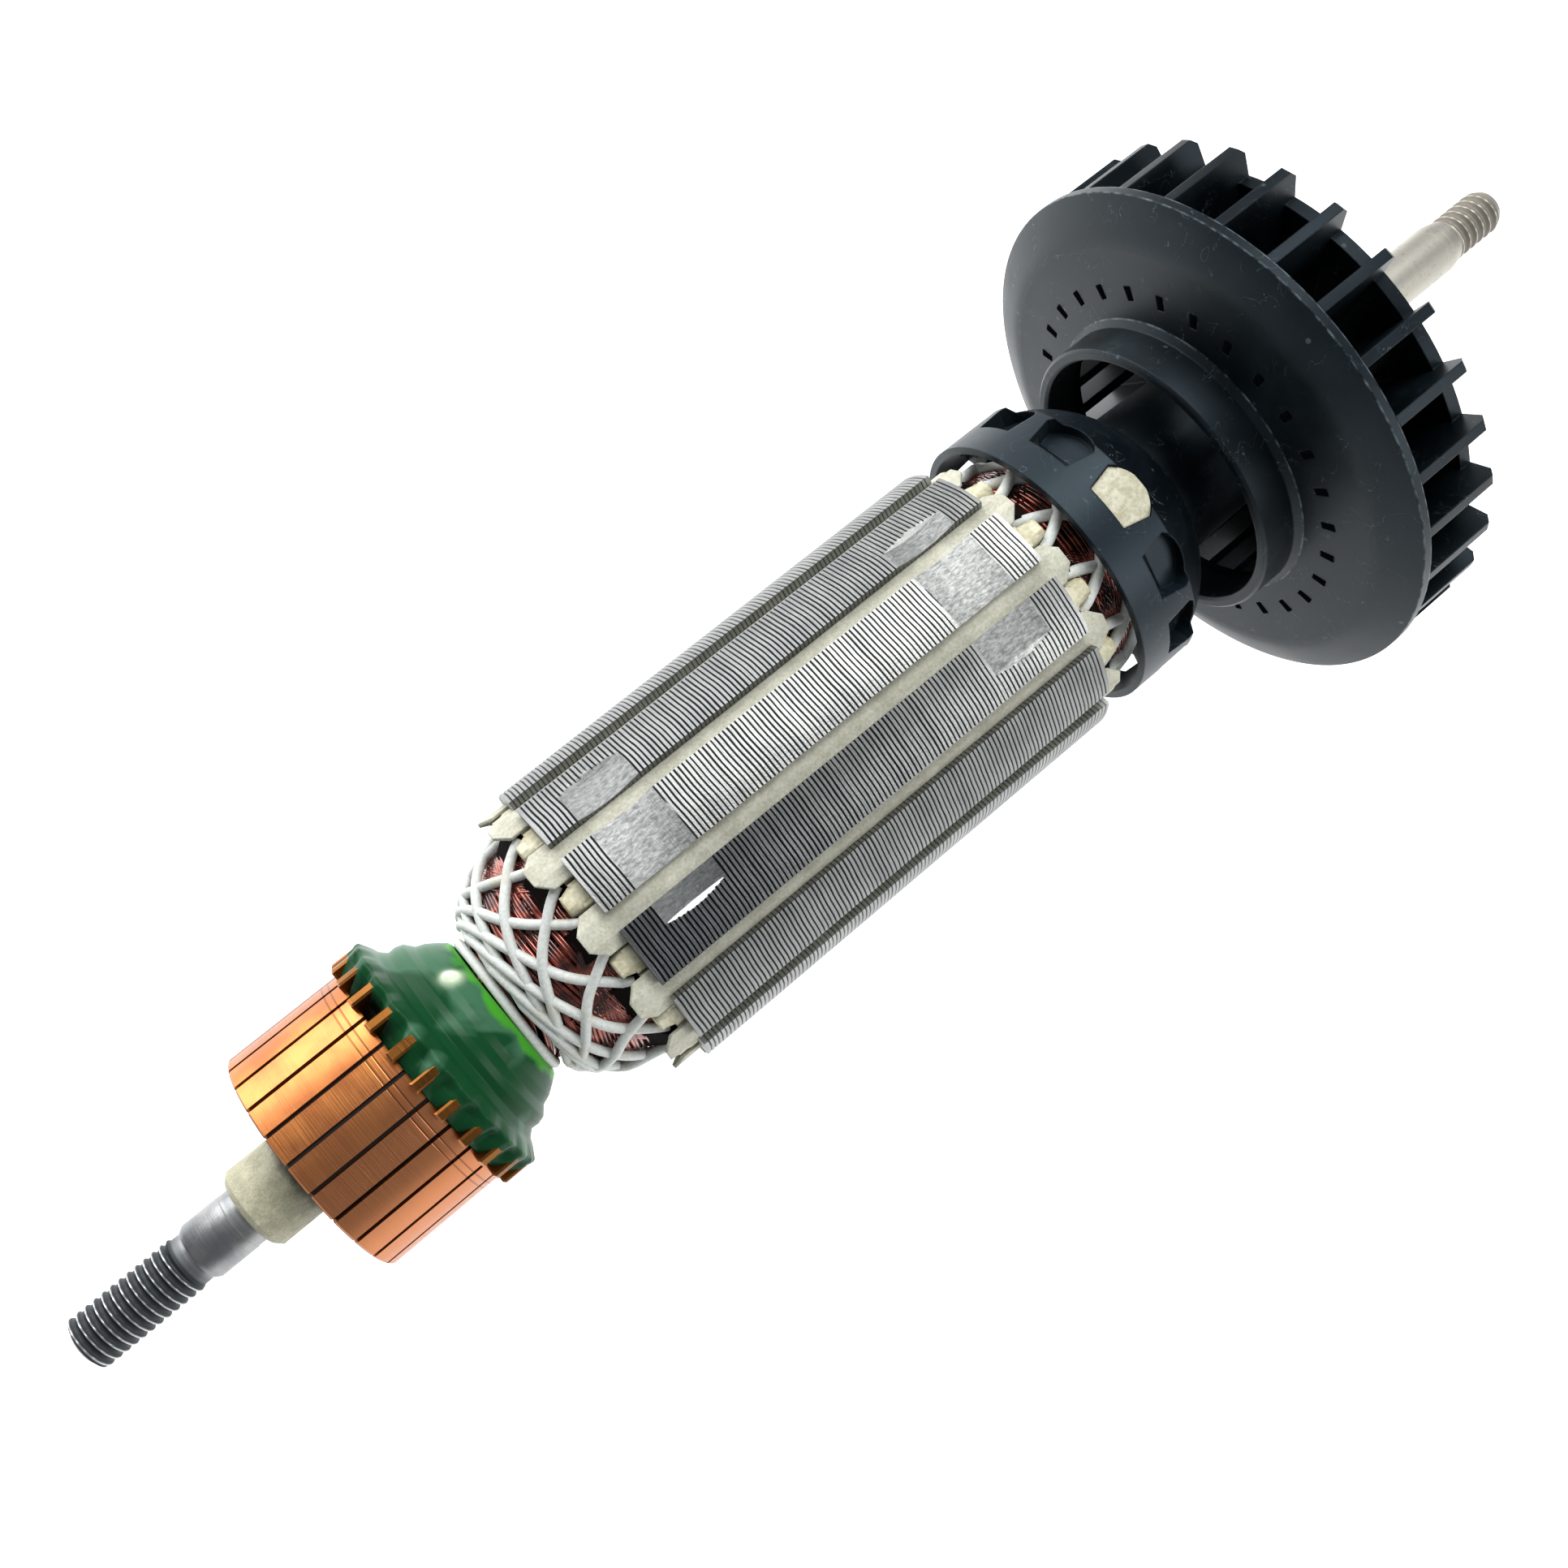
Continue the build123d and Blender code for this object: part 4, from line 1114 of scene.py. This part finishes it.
def front_cords():
    """Twelve stretches. Each leaves a slot, passes close by the neck and comes back CORD_SPAN on."""
    turn = CORD_SPAN * 360 / TOOTH_COUNT
    share = (turn - 2 * LEAVES_AT) / (SWEEP_OUT + SWEEP_BACK)
    deepest = (NECK_LIMIT * share + SWEEP_START) / (1 + share)
    away = deepest - (deepest - FIRST_OUT) * (1 - np.linspace(0, 1, 30)) ** 2
    out = np.concatenate([away, away[-2::-1]])
    way = np.linspace(0, 1, len(out))
    rate = (out - SWEEP_START) / (NECK_LIMIT - out)
    phi = np.where(np.arange(len(out)) < len(away), LEAVES_AT + SWEEP_OUT * rate,
                   turn - LEAVES_AT - SWEEP_BACK * rate)
    over = np.interp(way, OVER_AT, OVER_LIFT) * MM
    tubes = []
    for n in range(TOOTH_COUNT):
        slack = random.normal(0, 0.8) * np.sin(math.pi * way)
        drift = random.normal(0, 0.25) * np.clip(out / 9 - 0.3, 0, 1)
        place = (out + 0.10 * np.sin(out * 1.3 + n) + drift) * MM
        radius = np.interp(place, *FRONT_DOME) + CORD_LIFT + over
        path = about_shaft(core_start - place, radius, slot_angle(n) + np.radians(phi + slack))
        tubes.append(tube_rings(path, CORD_R, CORD_SIDES))
    return tubes


def cord_ring(x, radius):
    """A closed turn of cord round the shaft, a little out of true."""
    angle = np.linspace(0, 2 * math.pi, 64)
    wobble = 0.15 * MM * np.sin(2 * angle + x * 900)
    return tube_rings(about_shaft(x + wobble, radius, angle), CORD_R, CORD_SIDES)


front_lacing = front_cords() + [cord_ring(core_start - 12.3 * MM, 7.7 * MM)]
piece("cord_lacing_front", front_lacing, cord, 80, ("lacing_front",), capped=False)

# %% [markdown]
# ## Lacing behind the core
# The cord behind the core soon passes under the fan's ring, so only two crossing families of
# stretches and one turn round the shaft are made.

# %% Rear lacing
REAR_CORD_R = 0.62 * MM
REAR_FROM = 1.4
REAR_TO = 11.6
REAR_LIMIT = 14


def rear_family(sense, sweep, lift):
    """Stretches over the rear coil ends, one from each slot; sense is 1 or -1 round the shaft."""
    tubes = []
    out = np.linspace(REAR_FROM, REAR_TO, 34)
    phi = 6 + sweep * (out - REAR_FROM) / (REAR_LIMIT - out)
    radius = np.interp(out * MM, *REAR_DOME) + lift
    for n in range(TOOTH_COUNT):
        path = about_shaft(core_end + out * MM, radius, slot_angle(n) + sense * np.radians(phi))
        tubes.append(tube_rings(path, REAR_CORD_R, CORD_SIDES))
    return tubes


rear_lacing = rear_family(1, 13.0, 0.3 * MM) + rear_family(-1, 16.0, 0.55 * MM)
rear_lacing += [cord_ring(core_end + 11.0 * MM, 10.2 * MM)]
piece("cord_lacing_rear", rear_lacing, cord, 80, ("lacing_rear",), capped=False)

# %% [markdown]
# ## Floor and light
# A pale floor lies a little below the fan. One broad soft light stands like a window on the left of
# the picture, a second one hangs high up, a weaker one fills from the right, and the world is a
# plain pale grey.

# %% Floor, lights and world
floor_z = shroud_low.z - 30 * MM
bpy.ops.mesh.primitive_plane_add(size=6.0, location=(0.1, 0, floor_z))
floor = bpy.context.object
floor.name = "floor"
floor.data.materials.append(surface("pale_floor", Base_Color="#FAFAFA", Roughness=0.9,
                                    Emission_Color="#FFFFFF", Emission_Strength=0.5))


def soft_light(name, place, size, power):
    """Square area light that looks at the core."""
    data = bpy.data.lights.new(name, "AREA")
    data.size = size
    data.energy = power
    lamp = bpy.data.objects.new(name, data)
    lamp.location = place
    aim = Vector(((core_start + core_end) / 2, 0, 0)) - Vector(place)
    lamp.rotation_euler = aim.to_track_quat("-Z", "Y").to_euler()
    scene.collection.objects.link(lamp)


soft_light("window", (0.06, 0.46, 0.24), 0.5, 3.6)
soft_light("top", (0.28, 0.12, 0.50), 0.3, 2.4)
soft_light("fill", (0.32, -0.42, 0.26), 0.3, 1.4)
world = bpy.data.worlds.new("studio")
world.use_nodes = True
sky = world.node_tree.nodes["Background"]
sky.inputs["Color"].default_value = linear("#E9EEF2")
sky.inputs["Strength"].default_value = 0.32
scene.world = world
print("floor at", round(floor_z / MM, 1), "mm")
